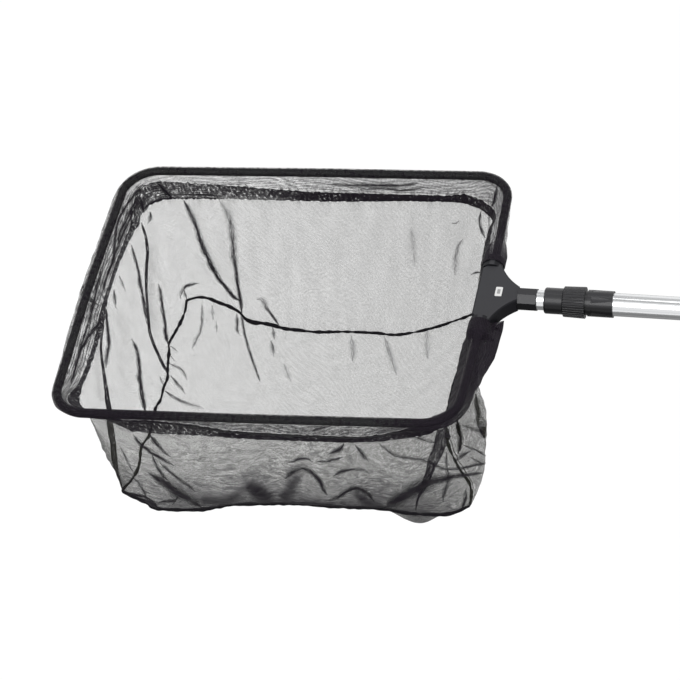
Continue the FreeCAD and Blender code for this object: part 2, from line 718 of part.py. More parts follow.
def wall_panels():
    """The four walls by name, parted by a narrow slit at each corner."""
    slits = [corner_slab(sign_x, sign_y, CORNER_SLIT) for sign_x, sign_y in CORNERS]
    ring = tapered_ring(HEM_DROP, binding_top, 0, CLOTH_THICK)
    panels = ring.cut(Part.makeCompound(slits)).Solids
    by_x = sorted(panels, key=lambda panel: panel.CenterOfMass.x)
    by_y = sorted(panels, key=lambda panel: panel.CenterOfMass.y)
    return {
        "net_wall_left": by_x[0],
        "net_wall_right": by_x[-1],
        "net_wall_near": by_y[0],
        "net_wall_far": by_y[-1],
    }


def seam_tapes():
    """The doubled cloth at each corner, inside and outside the slit."""
    ring = tapered_ring(HEM_DROP, binding_top, FIT_GAP + SEAM_TAPE_THICK, -FIT_GAP)
    return [ring.common(corner_slab(sign_x, sign_y, SEAM_TAPE_WIDTH)) for sign_x, sign_y in CORNERS]


def floor_binding():
    rim = section_wire(BAG_DEPTH, CLOTH_THICK / 2, -BAG_DEPTH)
    start = rim.Edges[0]
    first = start.valueAt(start.FirstParameter)
    way = start.tangentAt(start.FirstParameter)
    profile = Part.Wire(Part.makeCircle(BINDING_R, first, way))
    return rim.makePipeShell([profile], True, True)


def floor_body(lift):
    """The space under a floor that slopes down from its seam to a flat middle."""
    rim_height = -BAG_DEPTH - BINDING_R + lift
    centre_x, half_length, half_width, _ = bag_section(BAG_DEPTH)
    slope_run = half_length * (1 - FLOOR_FLAT_SHARE)
    rim = section_wire(BAG_DEPTH, CLOTH_THICK / 2, rim_height)
    flat = rounded_rectangle(
        centre_x, half_length - slope_run, half_width - slope_run, FLOOR_FLAT_CORNER_R, rim_height - FLOOR_SAG
    )
    return Part.makeLoft([rim, flat], True, True)


binding_top = BAG_DEPTH - BINDING_R
save(drooped(rim_sleeve()), "rim_sleeve")
save(drooped(tapered_ring(SLEEVE_DROP, HEM_DROP, 0, HEM_THICK)), "hem_band")
for panel_name, panel in wall_panels().items():
    save(drooped(panel), panel_name)
save_group([drooped(tape) for tape in seam_tapes()], "wall_seam_tapes")
save(drooped(floor_binding()), "floor_seam_binding")
save(drooped(floor_body(0).cut(floor_body(CLOTH_THICK))), "net_floor")
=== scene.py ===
import math
from collections import namedtuple

import bpy
import numpy as np
from mathutils import Matrix, Vector
from mathutils.kdtree import KDTree


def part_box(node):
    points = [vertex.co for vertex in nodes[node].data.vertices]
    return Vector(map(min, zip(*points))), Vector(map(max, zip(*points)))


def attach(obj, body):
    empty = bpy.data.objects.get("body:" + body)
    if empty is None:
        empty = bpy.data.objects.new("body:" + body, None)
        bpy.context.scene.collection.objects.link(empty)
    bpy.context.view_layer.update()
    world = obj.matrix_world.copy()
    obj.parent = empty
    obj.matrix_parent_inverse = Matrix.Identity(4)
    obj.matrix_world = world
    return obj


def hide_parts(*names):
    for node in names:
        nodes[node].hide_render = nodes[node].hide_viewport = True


# Leaf skimmer net: finishes for the hard parts, and the mesh bag with its rim sleeve, hem and seams as
# sewn cloth. Metres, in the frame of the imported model: the pole is the X axis, the net is at -X, +Z is up.

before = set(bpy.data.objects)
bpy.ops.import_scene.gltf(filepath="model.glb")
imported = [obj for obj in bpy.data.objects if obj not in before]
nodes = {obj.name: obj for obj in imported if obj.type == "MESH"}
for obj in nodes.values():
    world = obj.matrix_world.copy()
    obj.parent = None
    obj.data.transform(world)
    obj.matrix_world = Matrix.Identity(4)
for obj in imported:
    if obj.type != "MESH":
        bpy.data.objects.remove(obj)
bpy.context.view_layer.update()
MM = 0.001

# Camera, fitted to the four corners of the frame loop in the photograph
PHOTO_SIDE = 680
PX_PER_MM = 1.06              # the scale at the net
CAMERA_PLACE = np.array((0.20244, -2.53555, 2.54516))
CAMERA_RIGHT = np.array((0.97728, 0.18624, -0.10119))
CAMERA_UP = np.array((-0.06201, 0.70776, 0.70373))
CAMERA_LENS = 203.07
CAMERA_SENSOR = 36.0
CAMERA_FAR = 200

# Frame loop and bag, as the CAD parts have them
HEAD_X = -401.9 * MM
FRAME_DROOP = math.radians(3)
FRAME_LENGTH = 390 * MM
FRAME_WIDTH = 336 * MM
FRAME_CORNER_R = 34 * MM
FRAME_TUBE_R = 4 * MM
END_BOW = 2.8 * MM
SIDE_BOW = 1.0 * MM
HEAD_BEND_Y = 73 * MM
BOW_BEND_R = 1.5
HEAD_BEND_R = 0.4
HOOD_R = 10.4 * MM
HOOD_END_Y = 52 * MM
BAG_DEPTH = 166 * MM
BAG_TAPER_LENGTH = 60 * MM
BAG_TAPER_WIDTH = 78 * MM
BAG_SHIFT = 13 * MM
BAG_FLOOR_CORNER_R = 30 * MM
SLOPE_LEVEL = 40 * MM         # the level that gives the bag's slope under the hem
LABEL_FIELD = (3.0 * MM, 6.0 * MM)   # the plain grey field on the label plate

# Cloth: a plain black mesh
THREAD_PITCH = 0.95 * MM
THREAD_SHARE = 0.215          # of the pitch that a thread covers
THREAD_WANDER = 1.2 * MM
LAYER_CLEAR = 0.55            # what one more gathered layer lets through
PLEAT_CLEAR = 0.19            # and one layer of a small pleat
CLOTH_STEP = 1.5 * MM         # the bag's mesh spacing
CLOTH_VALUES = ("gathered", "wrinkled")
SIDES = ("far", "left", "near", "right")
WALL_HEIGHT = 0.15            # of the flat cloth, as declared below
FLOOR_SPAN = (0.33, 0.26)     # its floor panel along and across the net

# Seeded unevenness of the cloth: shortest and longest wave in millimetres, number of waves, and seed
UNEVEN = {
    "wall_swell": ((40, 90), 9, 11), "wall_ripple": ((12, 26), 9, 12),
    "wall_pucker": ((6, 15), 6, 13), "wall_tone": ((12, 34), 9, 14),
    "floor_swell": ((50, 110), 8, 21), "floor_ripple": ((14, 30), 8, 22),
    "floor_pucker": ((6, 12), 6, 23), "floor_tone": ((15, 40), 9, 24),
    "seam_thickness": ((6, 30), 7, 31),
    "hem_ruffle": ((5, 12), 5, 41), "hem_edge": ((7, 25), 6, 42),
    "hem_tone": ((6, 40), 8, 43), "hem_fray": ((3, 7), 7, 44),
    "sleeve_slack": ((14, 40), 8, 51), "sleeve_tone": ((6, 14), 6, 52), "sleeve_pucker": ((3.5, 9), 8, 53),
}

# Zones of the ring: first and last place, and the share of a side over which they fade out.
# Places: 0 is the far right corner, 1 far left, 2 near left and 3 near right.
ZONES = {
    "inside_seen": (-0.1, 2.04, 0.01), "outside_seen": (1.98, 4.0, 0.01),
    "sleeve_inside_seen": (-0.3, 2.0, 0.01), "sleeve_outside_seen": (2.0, 3.6, 0.01),
    "inside_folds": (-0.08, 2.02, 0.02), "outside_folds": (2.0, 3.95, 0.05),
    "near_wall": (2.08, 2.92, 0.25), "near_left_turned": (1.93, 2.03, 0.03),
    "right_slung": (2.95, 3.5, 0.1), "right_slung_lower": (3.5, 3.95, 0.1),
    "right_full": (2.97, 3.5, 0.1), "right_held_back": (3.35, 4.1, 0.25),
    "right_closer": (2.9, 3.5, 0.1), "right_creased": (2.9, 3.9, 0.1),
    "seam_near": (1.95, 2.98, 0.06), "seam_far_left": (0.6, 0.9, 0.08),
    "hem_thin_foot": (0.6, 1.07, 0.06),
}

# The floor's seam, a sewn ring that sags where the cloth is slack. Each side starts at its corner.
SEAM_SIDES = {
    "far": (
        (-446, 129, -157), (-460, 129, -162), (-484, 129, -175), (-510, 129, -186), (-532, 129, -192),
        (-552, 129, -191), (-584, 129, -192), (-612, 129, -195), (-631, 129, -194), (-646, 129, -193),
        (-659, 129, -189), (-670, 129, -187), (-678, 129, -187), (-686, 129, -183), (-692, 129, -173),
        (-701, 129, -166), (-712, 129, -161), (-722, 129, -156), (-731, 129, -155), (-740, 129, -158),
    ),
    "left": (
        (-744, 126, -158), (-743, 119, -155), (-742, 111, -155), (-742, 101, -155), (-743, 91, -155),
        (-745, 79, -155), (-747, 69, -155), (-748, 60, -155), (-746, 52, -155), (-744, 39, -156),
        (-742, 26, -157), (-740, 16, -158), (-741, 4, -158), (-740, -5, -156), (-740, -15, -157),
        (-742, -24, -157), (-742, -33, -156), (-741, -62, -158), (-742, -71, -156), (-744, -81, -155),
        (-743, -90, -154), (-742, -98, -156), (-742, -107, -158), (-744, -115, -160), (-748, -121, -164),
    ),
    "near": (
        (-755, -126, -171), (-749, -129, -173), (-738, -129, -180), (-731, -129, -184), (-722, -130, -190),
        (-679, -130, -187), (-648, -129, -178), (-617, -129, -173), (-577, -129, -169), (-532, -129, -169),
        (-498, -129, -167), (-469, -129, -171), (-434, -128, -170),
    ),
    "right": (
        (-415, -122, -165), (-413, -108, -172), (-418, -83, -175), (-433, -61, -175), (-449, -30, -173),
        (-454, 0, -168), (-455, 35, -168), (-452, 65, -164), (-450, 95, -162),
    ),
}
BULGE = {"far": 6 * MM, "left": 5 * MM, "near": 9 * MM, "right": 36 * MM}
FLOOR_SAG = 9 * MM

# The rim, by place on the ring. Hem: millimetres under the tube's centre and inwards of the bag's plain
# shape, for its upper and lower edge, then the gathered layers on each face and how mottled they are.
HEM = (
    (0.00, 27, 38, 6, 8, 4.0, 0.2), (0.04, 27, 37, 3, 4, 3.6, 0.3), (0.08, 22, 33, 1, 1, 3.4, 0.4),
    (0.11, 20, 30, 0, 0, 4.6, 0.4), (0.15, 22, 29, 0, 0, 6.0, 0.35), (0.28, 21.5, 29, 0, 0, 6.0, 0.35),
    (0.38, 21, 30, 0, 0, 5.5, 0.4), (0.47, 20.6, 31, 0, 0, 4.6, 0.5), (0.55, 19.6, 31, 0, 0, 3.6, 0.55),
    (0.63, 18.0, 30.6, 0, 0, 2.6, 0.6), (0.69, 16.6, 30.2, 0, 0, 1.9, 0.8), (0.74, 15, 30, 0, 0, 1.7, 0.9),
    (0.80, 13.5, 29.8, 0, 0, 1.3, 1.0), (0.92, 11.6, 30.2, 0, 0, 1.2, 1.0),
    (0.97, 10.4, 31.5, 0, 0, 1.3, 1.0), (1.00, 11, 31, 0, 0, 1.6, 0.8), (1.02, 13, 33, 0, 1, 2.6, 0.6),
    (1.06, 17, 31, 2, 4, 2.0, 0.8), (1.10, 21, 30, 5, 7, 1.9, 0.8), (1.14, 23, 30, 3, 4, 2.0, 0.8),
    (1.20, 24, 30, 1, 1.5, 2.0, 0.8), (1.30, 25, 30, -1, -1, 2.0, 0.8), (1.45, 25, 30, -1, -1, 2.2, 0.7),
    (1.54, 24, 31, 0, 2, 2.8, 0.5), (1.66, 25, 30, 3, 4, 2.4, 0.6), (1.76, 25, 30, 3, 4, 2.4, 0.6),
    (1.84, 25, 30, 1, 2, 2.4, 0.6), (1.90, 18, 29, 1, 4, 3.0, 0.5), (1.96, 8, 26, 5, 12, 5.0, 0.1),
    (2.02, 4, 21, 7, 14, 4.5, 0.2), (2.07, 3, 20, 6, 11, 4.0, 0.3), (2.11, 5, 21, 3, 5, 3.4, 0.4),
    (2.165, 9, 26, -1, -3, 2.6, 0.6), (2.24, 8, 29.6, -1, -3, 1.7, 0.9), (2.32, 11.4, 30.5, -1, -3, 1.6, 1.0),
    (2.37, 15.6, 31, -1, -3, 2.0, 0.8), (2.42, 21.7, 32.5, -1, -3, 4.0, 0.3),
    (2.50, 24, 33.8, -1, -3, 3.6, 0.3), (2.63, 25.6, 34.2, -1, -3, 3.4, 0.3),
    (2.73, 26.2, 34.2, -1, -3, 3.4, 0.3), (2.78, 25.2, 32.3, -1, -3, 4.0, 0.3),
    (2.83, 19.7, 29.6, -1, -3, 2.6, 0.5), (2.88, 12, 24, -1, -3, 3.2, 0.4), (2.93, 7, 20, 5, -2, 4.0, 0.3),
    (2.975, 6, 20, 11, 3, 5.0, 0.1), (3.02, 9, 26, 11, 13, 5.0, 0.1), (3.06, 11, 29, 9, 15, 4.0, 0.2),
    (3.14, 12, 30, 6, 16, 4.0, 0.2), (3.26, 12, 30, 5, 15, 4.0, 0.2), (3.34, 12, 30, 5, 16, 4.0, 0.2),
    (3.375, 11, 30, 5, 15.5, 4.0, 0.2), (3.40, 8.9, 30, 5, 15, 4.0, 0.2), (3.50, 8.7, 28, 5, 8, 4.0, 0.2),
    (3.60, 8.9, 28, 5, 9, 4.0, 0.2), (3.635, 11, 28.5, 6, 11, 3.6, 0.3), (3.69, 19, 29, 8.5, 13.5, 2.6, 0.5),
    (3.74, 22, 30, 10, 15.5, 1.4, 0.8), (3.82, 22, 30, 11, 16.5, 1.4, 0.8),
    (3.90, 22, 31, 12, 16.5, 2.4, 0.6), (3.95, 24, 34, 10, 13.5, 3.6, 0.3), (3.98, 26, 37, 8, 10, 4.0, 0.2),
)
# Sleeve: gathered layers of its inner and outer skirt, how creased they are, and how far the outer skirt
# is drawn outwards, in millimetres from the tube's centre line.
SLEEVE = (
    (0.00, 0.5, 0.0, 0.4, -3), (0.05, 0.2, 0.0, 0.4, -2), (0.12, 0.0, 0.0, 0.4, 2), (0.30, 0.1, 0.0, 0.4, 6),
    (0.42, 0.0, 0.0, 0.4, 6), (0.60, -0.3, -0.3, 0.45, 6), (0.95, -0.3, -0.3, 0.4, 6),
    (1.02, 0.1, 0.0, 0.8, 7.5), (1.10, 0.25, 0.1, 0.9, 8.4), (1.30, 0.35, 0.1, 0.9, 9),
    (1.55, 0.3, 0.1, 0.9, 9), (1.70, 0.1, 0.0, 0.8, 7.5), (1.80, 0.0, 0.0, 0.7, 5.5),
    (1.92, 0.5, 0.8, 0.5, 3.2), (2.00, 1.2, 1.6, 0.4, 2.6), (2.12, 2.0, 2.4, 0.4, 3.4),
    (2.30, 1.0, 1.0, 0.6, 5.0), (2.42, 0.1, 0.1, 0.5, 5.5), (2.80, 0.0, 0.0, 0.45, 5.5),
    (2.90, 1.0, 1.0, 0.5, 5.5), (2.97, 3.0, 2.0, 0.3, 6), (3.05, 2.4, 0.8, 0.4, 6.5),
    (3.12, 2.4, 1.6, 0.5, 8), (3.20, 2.4, 2.9, 0.8, 13), (3.27, 2.6, 3.5, 0.9, 18), (3.36, 2.8, 3.3, 1.0, 20),
    (3.45, 3.0, 3.0, 1.0, 17), (3.52, 3.0, 2.4, 0.5, 12), (3.60, 5.0, 5.0, 0.3, 5), (3.65, 4.0, 3.5, 0.4, 5),
    (3.71, 1.5, 0.1, 0.8, 4.2), (3.82, 1.0, -0.2, 0.8, 1.5), (3.90, 1.2, -0.2, 0.8, -1),
    (3.96, 1.0, 0.0, 0.6, -3),
)
NEAR_END_Y = -38 * MM         # the sleeve's ends, over the head's hoods
FAR_END_Y = 39.5 * MM
TAIL_REACH = 22 * MM          # the outer skirt's near end is pulled on towards the neck
TAIL_PULL = 13 * MM
SKIRT_ROWS = 10
SKIRT_WIDTH = 20 * MM
STRIP_WIDTH = 60 * MM
WRAP_ROWS = 10
SLEEVE_SLACK = 0.9 * MM
OUTER_STRETCH = 1.22
HEM_HALF_THICK = 1.0 * MM
HEM_ROUND = 24 * MM
SEAM_R = 1.55 * MM
POUCH_AT = (418, 505)         # a slack place in the floor, in the photograph's frame
POUCH_SPREAD = (24, 12)
POUCH_DEPTH = 20 * MM
CLOSER_FROM = -0.75           # the mesh gets closer from here to the head

# Pleats and puckers: half widths and gathered layers along a line in the photograph's 680-pixel frame
PLEATS = {
    "back": (
        ((0.9, 1.2), (2.0, 3.0), ((131, 245), (135, 260), (138, 272), (141.5, 292), (144, 305), (146.5, 318),
         (149, 328))),
        ((1.6, 1.0, 1.1, 1.2), (0.6, 2.6, 3.6, 4.0), ((158, 284), (160.5, 295), (162, 307), (163.8, 318),
         (165, 330), (166.2, 339), (168, 344))),
        ((1.0, 1.0, 1.1, 1.6, 2.0), (3.4, 3.4, 3.0, 1.6, 0.7), ((106, 309), (106, 319), (107, 327.5),
         (108, 336), (108.5, 344), (107, 352), (105.6, 360), (105.5, 368))),
        ((1.0, 1.3, 1.4), (1.6, 3.4, 3.4), ((131, 339), (135.6, 347.5), (137.5, 355), (138.8, 365),
         (139.6, 380), (142, 396), (145, 412))),
        ((1.8, 1.0), (2.4, 0.8), ((150, 212), (150, 218), (147, 224))),
        ((1.2, 0.8), (1.0, 0.3), ((119, 276), (122, 284), (125, 292))),
        ((1.0, 0.9), (2.0, 2.0, 0.8), ((113.6, 290), (114.6, 300), (115.6, 308))),
        ((1.1, 0.8), (1.2, 0.5), ((159.3, 377), (162, 383), (164.3, 388))),
        ((1.1, 1.7, 1.8, 1.5, 1.1, 1.1), (1.8, 1.7, 2.4, 3.4, 4.0, 4.2), ((184, 200), (190, 212), (195, 224),
         (200, 240), (206, 254), (213, 268), (220, 280), (224, 285), (229, 291), (233, 296), (237, 299),
         (240, 300.5))),
        ((1.7, 2.4, 2.2, 1.8, 1.3, 1.1, 1.0), (0.3, 0.5, 1.0, 1.7, 2.6, 3.2, 3.4), ((219, 200), (227, 212),
         (231, 224), (233, 240), (234, 256), (237, 280), (238.5, 290), (240, 297), (241, 305), (241.5, 313))),
        ((0.9, 1.0, 1.1, 0.8), (0.6, 1.2, 2.2, 1.6, 0.9), ((180, 299), (180, 295), (181.5, 291), (184, 288),
         (188, 285), (193, 284), (199, 283.3))),
        ((1.2,), (1.5,), ((184, 290), (185, 295), (186.5, 300))),
        ((2.4, 1.8, 0.9, 0.8, 0.8), (0.35, 0.6, 1.9, 3.4, 2.2), ((257, 299), (261, 299), (265, 303),
         (267.5, 309), (271, 314), (275, 319), (279, 324.5))),
        ((0.9,), (1.4,), ((452, 223), (456, 223), (459, 220))),
        ((1.0, 1.8, 2.4), (0.6, 0.5, 0.2), ((463, 239), (458, 247), (456, 258), (455, 275))),
        ((0.9,), (1.5,), ((471, 274), (477, 272), (482, 273))),
        ((2.2,), (0.2,), ((411, 228), (414, 245), (415, 266))),
        ((0.8, 1.0), (1.8, 2.4), ((481, 210), (480, 221), (482, 230), (485, 238))),
    ),
    "floor": (
        ((0.9,), (1.4, 2.0, 1.9, 1.5, 0.9), ((241, 313), (243, 328), (246, 340), (250, 353), (255, 368),
         (260, 382))),
        ((1.1,), (1.0, 1.6, 0.5), ((236.5, 314), (237, 322), (236.8, 330), (239.5, 336))),
        ((0.9, 0.9, 1.2), (0.4, 1.1, 0.9, 0.4), ((202, 303), (202, 320), (200.5, 330), (197, 338),
         (192, 349))),
        ((1.2,), (0.6, 0.4), ((212, 306), (212.5, 313), (213, 320))),
        ((1.0,), (0.5,), ((216, 322), (217, 332))),
        ((1.0, 1.2), (0.6, 1.5, 1.0), ((272.5, 327), (273.5, 332), (274.5, 340))),
        ((1.8,), (0.9, 0.7, 0.3), ((271, 341), (272.5, 348), (273.5, 357))),
        ((2.2,), (0.25, 0.45, 0.3), ((351, 336), (353, 348), (352.5, 362))),
        ((2.0,), (0.25, 0.5, 0.35, 0.2), ((384, 337), (388, 348), (392, 360), (397, 376))),
        ((1.8,), (0.35, 0.25), ((284, 364), (287, 372), (291, 382))),
        ((2.6,), (0.25,), ((428, 331), (427, 345), (428, 359))),
        ((0.8,), (1.0, 0.4), ((170, 346.5), (174, 349), (178, 352.5))),
        ((0.8,), (1.0, 0.6), ((171, 356.5), (173, 359), (175, 361.5))),
        ((0.9,), (1.2, 0.8, 1.0, 0.3), ((168.6, 363.6), (175.7, 366.4), (181.4, 370), (185, 375.7),
         (187, 381))),
        ((1.0,), (1.3, 1.7, 1.2, 0.8), ((170.7, 376.4), (177, 383.6), (181.4, 388.6), (184.5, 394))),
        ((0.9, 1.4), (1.5, 1.3, 0.6, 0.2), ((165, 391.4), (173, 397), (181.4, 401.4), (191.4, 405),
         (204, 409))),
    ),
    "front": (
        ((1.6, 1.3, 1.0), (2.8, 1.5, 0.6), ((150, 435), (155, 441.4), (160, 447), (165, 453), (171, 457))),
        ((0.8, 1.2, 1.2, 1.1, 0.7), (0.8, 2.8, 2.8, 2.4, 1.0), ((133, 434), (138.6, 441.4), (143.6, 446.4),
         (151.4, 452), (161.4, 458), (168.6, 462), (174, 465.6))),
        ((1.0,), (1.2, 2.0, 1.4), ((152, 454), (155.7, 463), (159.3, 470), (163.6, 475.7), (168, 479.5))),
        ((0.9,), (1.6, 1.8, 1.0), ((160, 462), (167, 468.6), (174.3, 475), (181.4, 480.7), (189.3, 485.7),
         (195, 491))),
        ((0.8, 1.8, 2.6, 2.8, 2.4, 1.8, 1.3), (1.6, 2.6, 3.4, 3.4, 3.0, 2.6, 1.8), ((148, 472), (155.7, 477),
         (164.3, 482), (171.4, 488), (180, 493.6), (188.6, 498), (197, 503.6), (202, 507))),
        ((0.9,), (0.8,), ((121, 447), (127, 460), (134, 473))),
        ((0.9,), (1.0,), ((134, 477), (140.7, 485.7), (148, 499))),
        ((1.5, 1.6), (4.4, 4.0), ((125, 494), (132, 497), (140, 500), (148, 502), (154.3, 505),
         (159.3, 508.5))),
        ((0.9,), (3.0, 3.4, 2.4), ((128, 492), (136, 494.5), (144, 496.5), (151, 500), (157, 506))),
        ((1.0,), (2.4, 3.0, 2.0), ((159.3, 502), (168.6, 500.7), (175, 500), (178, 496.5))),
        ((0.9,), (1.4,), ((175, 501.4), (172, 505))),
        ((1.3, 1.8, 1.4, 0.9), (2.6, 2.6, 1.6, 0.6), ((344, 443), (340, 448.6), (333, 452), (328, 454))),
        ((0.8, 1.2, 0.9), (0.8, 1.7, 0.8), ((287, 463), (298, 459.3), (306, 458), (313, 461.4))),
        ((0.9, 1.2, 0.8), (0.8, 1.8, 1.2), ((316, 461.5), (326, 460.7), (336, 458.6), (343, 457))),
        ((0.9, 1.3, 1.5, 1.3, 1.0), (0.8, 1.8, 2.8, 2.8, 1.4), ((300, 467), (308.6, 470), (314, 474),
         (320, 481), (324, 489), (327, 495))),
        ((1.6,), (0.8, 1.2, 0.6), ((285, 478), (293, 472), (303, 468))),
        ((1.2,), (2.2, 2.2, 0.9), ((355.5, 445), (360, 450.5), (364, 455.5), (369, 461))),
        ((1.1,), (1.2, 1.9, 1.4, 1.0, 0.4), ((333, 475.7), (341, 471.4), (349, 470), (357, 469.3),
         (364, 469.5), (369, 473))),
        ((1.1, 1.3, 1.4, 1.3), (2.0, 2.8, 2.6, 2.4, 1.4), ((329, 500), (337, 497), (346, 491.4), (354, 488),
         (361, 489), (368, 494), (374, 501))),
        ((1.0, 1.3, 1.1, 1.2, 1.0, 0.9), (0.6, 1.0, 0.9, 1.3, 1.0, 1.5, 1.5), ((379, 443), (389, 451),
         (398, 456), (412, 458), (426, 460), (437, 466), (448, 469), (461, 468), (475, 465), (486, 463))),
        ((1.2,), (0.9,), ((402, 435), (415, 436), (425, 440), (437, 442))),
        ((2.2, 3.8, 4.2, 4.2, 2.8, 1.8, 1.2, 1.0), (2.6, 3.0, 3.0, 3.0, 2.6, 2.4, 2.2, 1.8), ((385, 508),
         (397, 500), (407, 494), (419, 487), (432, 481), (446, 478), (462, 475), (482, 473))),
        ((1.0, 1.0, 1.3, 1.5, 1.2), (1.0, 0.8, 1.3, 1.3, 0.6), ((446, 452), (446, 463), (448, 480),
         (444, 492), (443, 502))),
        ((1.3, 1.6, 1.2), (3.4, 4.2, 3.6, 2.4), ((457, 419), (458.5, 430), (460.5, 441), (457.5, 454))),
        ((0.9,), (0.8, 1.2), ((463, 445), (475, 450), (486, 456))),
        ((1.2,), (2.0, 2.2, 1.0), ((455, 461), (462, 455), (470, 451))),
        ((0.9,), (1.0,), ((470, 457), (480, 463), (486, 465))),
        ((1.1,), (0.8, 1.0, 1.4), ((462, 425), (472, 428), (481, 433))),
        ((1.0,), (1.5, 2.0, 2.6), ((466, 488), (465, 499), (461, 510))),
        ((1.4, 1.6, 1.8, 1.8), (3.0, 3.4, 3.4, 2.6), ((476, 394), (478, 410), (480, 424), (483, 433),
         (487, 440))),
    ),
    "rim": (
        ((0.9,), (2.6, 3.0, 2.4, 2.6, 2.2), ((143, 184), (132, 197), (121, 214), (116, 228), (114, 245),
         (113, 260), (107, 275), (103, 290))),
        ((0.8,), (1.8, 2.6, 1.2), ((141, 196), (133, 205), (126, 220), (120, 232), (117, 245))),
        ((0.8,), (1.6, 2.0, 0.8), ((132, 200), (131, 215), (131, 234))),
        ((0.8,), (1.8, 1.8, 2.2, 1.0), ((138, 203), (129, 220), (121, 238), (114, 256), (107, 272))),
        ((1.3, 1.2, 1.2, 1.5), (3.4, 3.6, 3.0, 2.2, 1.4), ((101, 318), (97.5, 324), (93, 330), (88, 337),
         (84, 344), (80, 350), (77.5, 357.5), (75.6, 365), (73, 375), (70.5, 384))),
        ((0.9,), (1.4, 2.4, 2.0), ((91, 312), (88, 324), (84.4, 334), (80.6, 344), (78, 354))),
        ((0.9, 1.1), (1.2, 2.4, 2.0), ((104, 262), (97, 285), (93, 303), (90, 316))),
        ((1.3, 1.0), (4.2, 3.0, 2.0), ((78, 405), (85, 407.5), (91, 409.5), (98, 411))),
        ((0.9, 1.2, 0.9), (0.8, 1.6, 2.2, 0.8), ((330, 184), (350, 185), (375, 185), (400, 185), (420, 183))),
        ((0.8, 1.0), (0.8, 1.4, 0.6), ((360, 189), (380, 188), (405, 190), (425, 187))),
        ((1.0, 1.4), (2.0, 3.2), ((497, 186), (496, 195), (493, 206))),
        ((1.0, 0.7), (2.4, 1.2), ((312, 431), (320, 428), (331, 426))),
        ((2.2,), (4.0,), ((479, 334), (487, 338), (494, 341))),
        ((2.0,), (4.0,), ((486, 326), (493, 328), (500, 331))),
    ),
    "hem": (
        ((1.1, 1.3), (3.0, 3.4), ((155, 180), (163, 188), (172, 198))),
        ((1.2, 1.4), (3.4, 4.0), ((141, 199), (142, 207), (144, 214))),
        ((1.0, 0.9, 0.8, 0.8), (3.8, 3.6, 3.2, 2.8, 2.6), ((144, 209), (149, 204.5), (156, 201), (165, 198.6),
         (180, 198.6), (200, 198), (222, 199))),
        ((0.7,), (0.8, 1.6, 1.2), ((160, 193.5), (180, 194), (205, 194.5), (222, 196))),
    ),
}

# The four upright seams, as pleats: each a surface, half widths, gathered layers and a line
CORNER_SEAMS = {
    "far_right": ("back", (1.0, 1.0), (0.6, 0.3), ((489, 212), (490, 230), (492, 250))),
    "far_left": ("back", (0.8, 1.3, 1.3, 1.0, 1.1, 1.3, 1.2), (3.0, 4.4, 4.0, 2.8, 3.2, 4.2, 4.0),
     ((141, 223), (145, 236), (147, 250), (146, 265), (146, 280), (145.5, 290), (147, 305), (148.5, 325),
     (150.5, 336), (154, 346), (157.5, 354), (161, 361), (167, 373))),
    "near_left": ("back", (0.8, 1.0, 1.1, 1.6, 2.4, 2.8, 2.8, 2.2, 1.2),
     (2.8, 3.4, 3.2, 3.2, 3.2, 3.2, 3.2, 3.2, 3.6), ((103, 321), (102, 331), (100.6, 341), (100.6, 350),
     (101.5, 360), (103, 370), (104.4, 380), (106, 390), (107, 400), (109, 412), (110, 425), (112, 440),
     (114, 458), (117, 474), (122, 489))),
    "near_right": ("front", (7.0, 6.0, 5.0, 4.0, 3.2, 1.2, 0.9), (2.2, 1.9, 1.7, 1.8, 2.6, 3.4, 3.2),
     ((446.5, 428), (441, 440), (437, 452), (432, 464), (427, 478), (423.5, 487), (418, 498), (416, 510))),
}

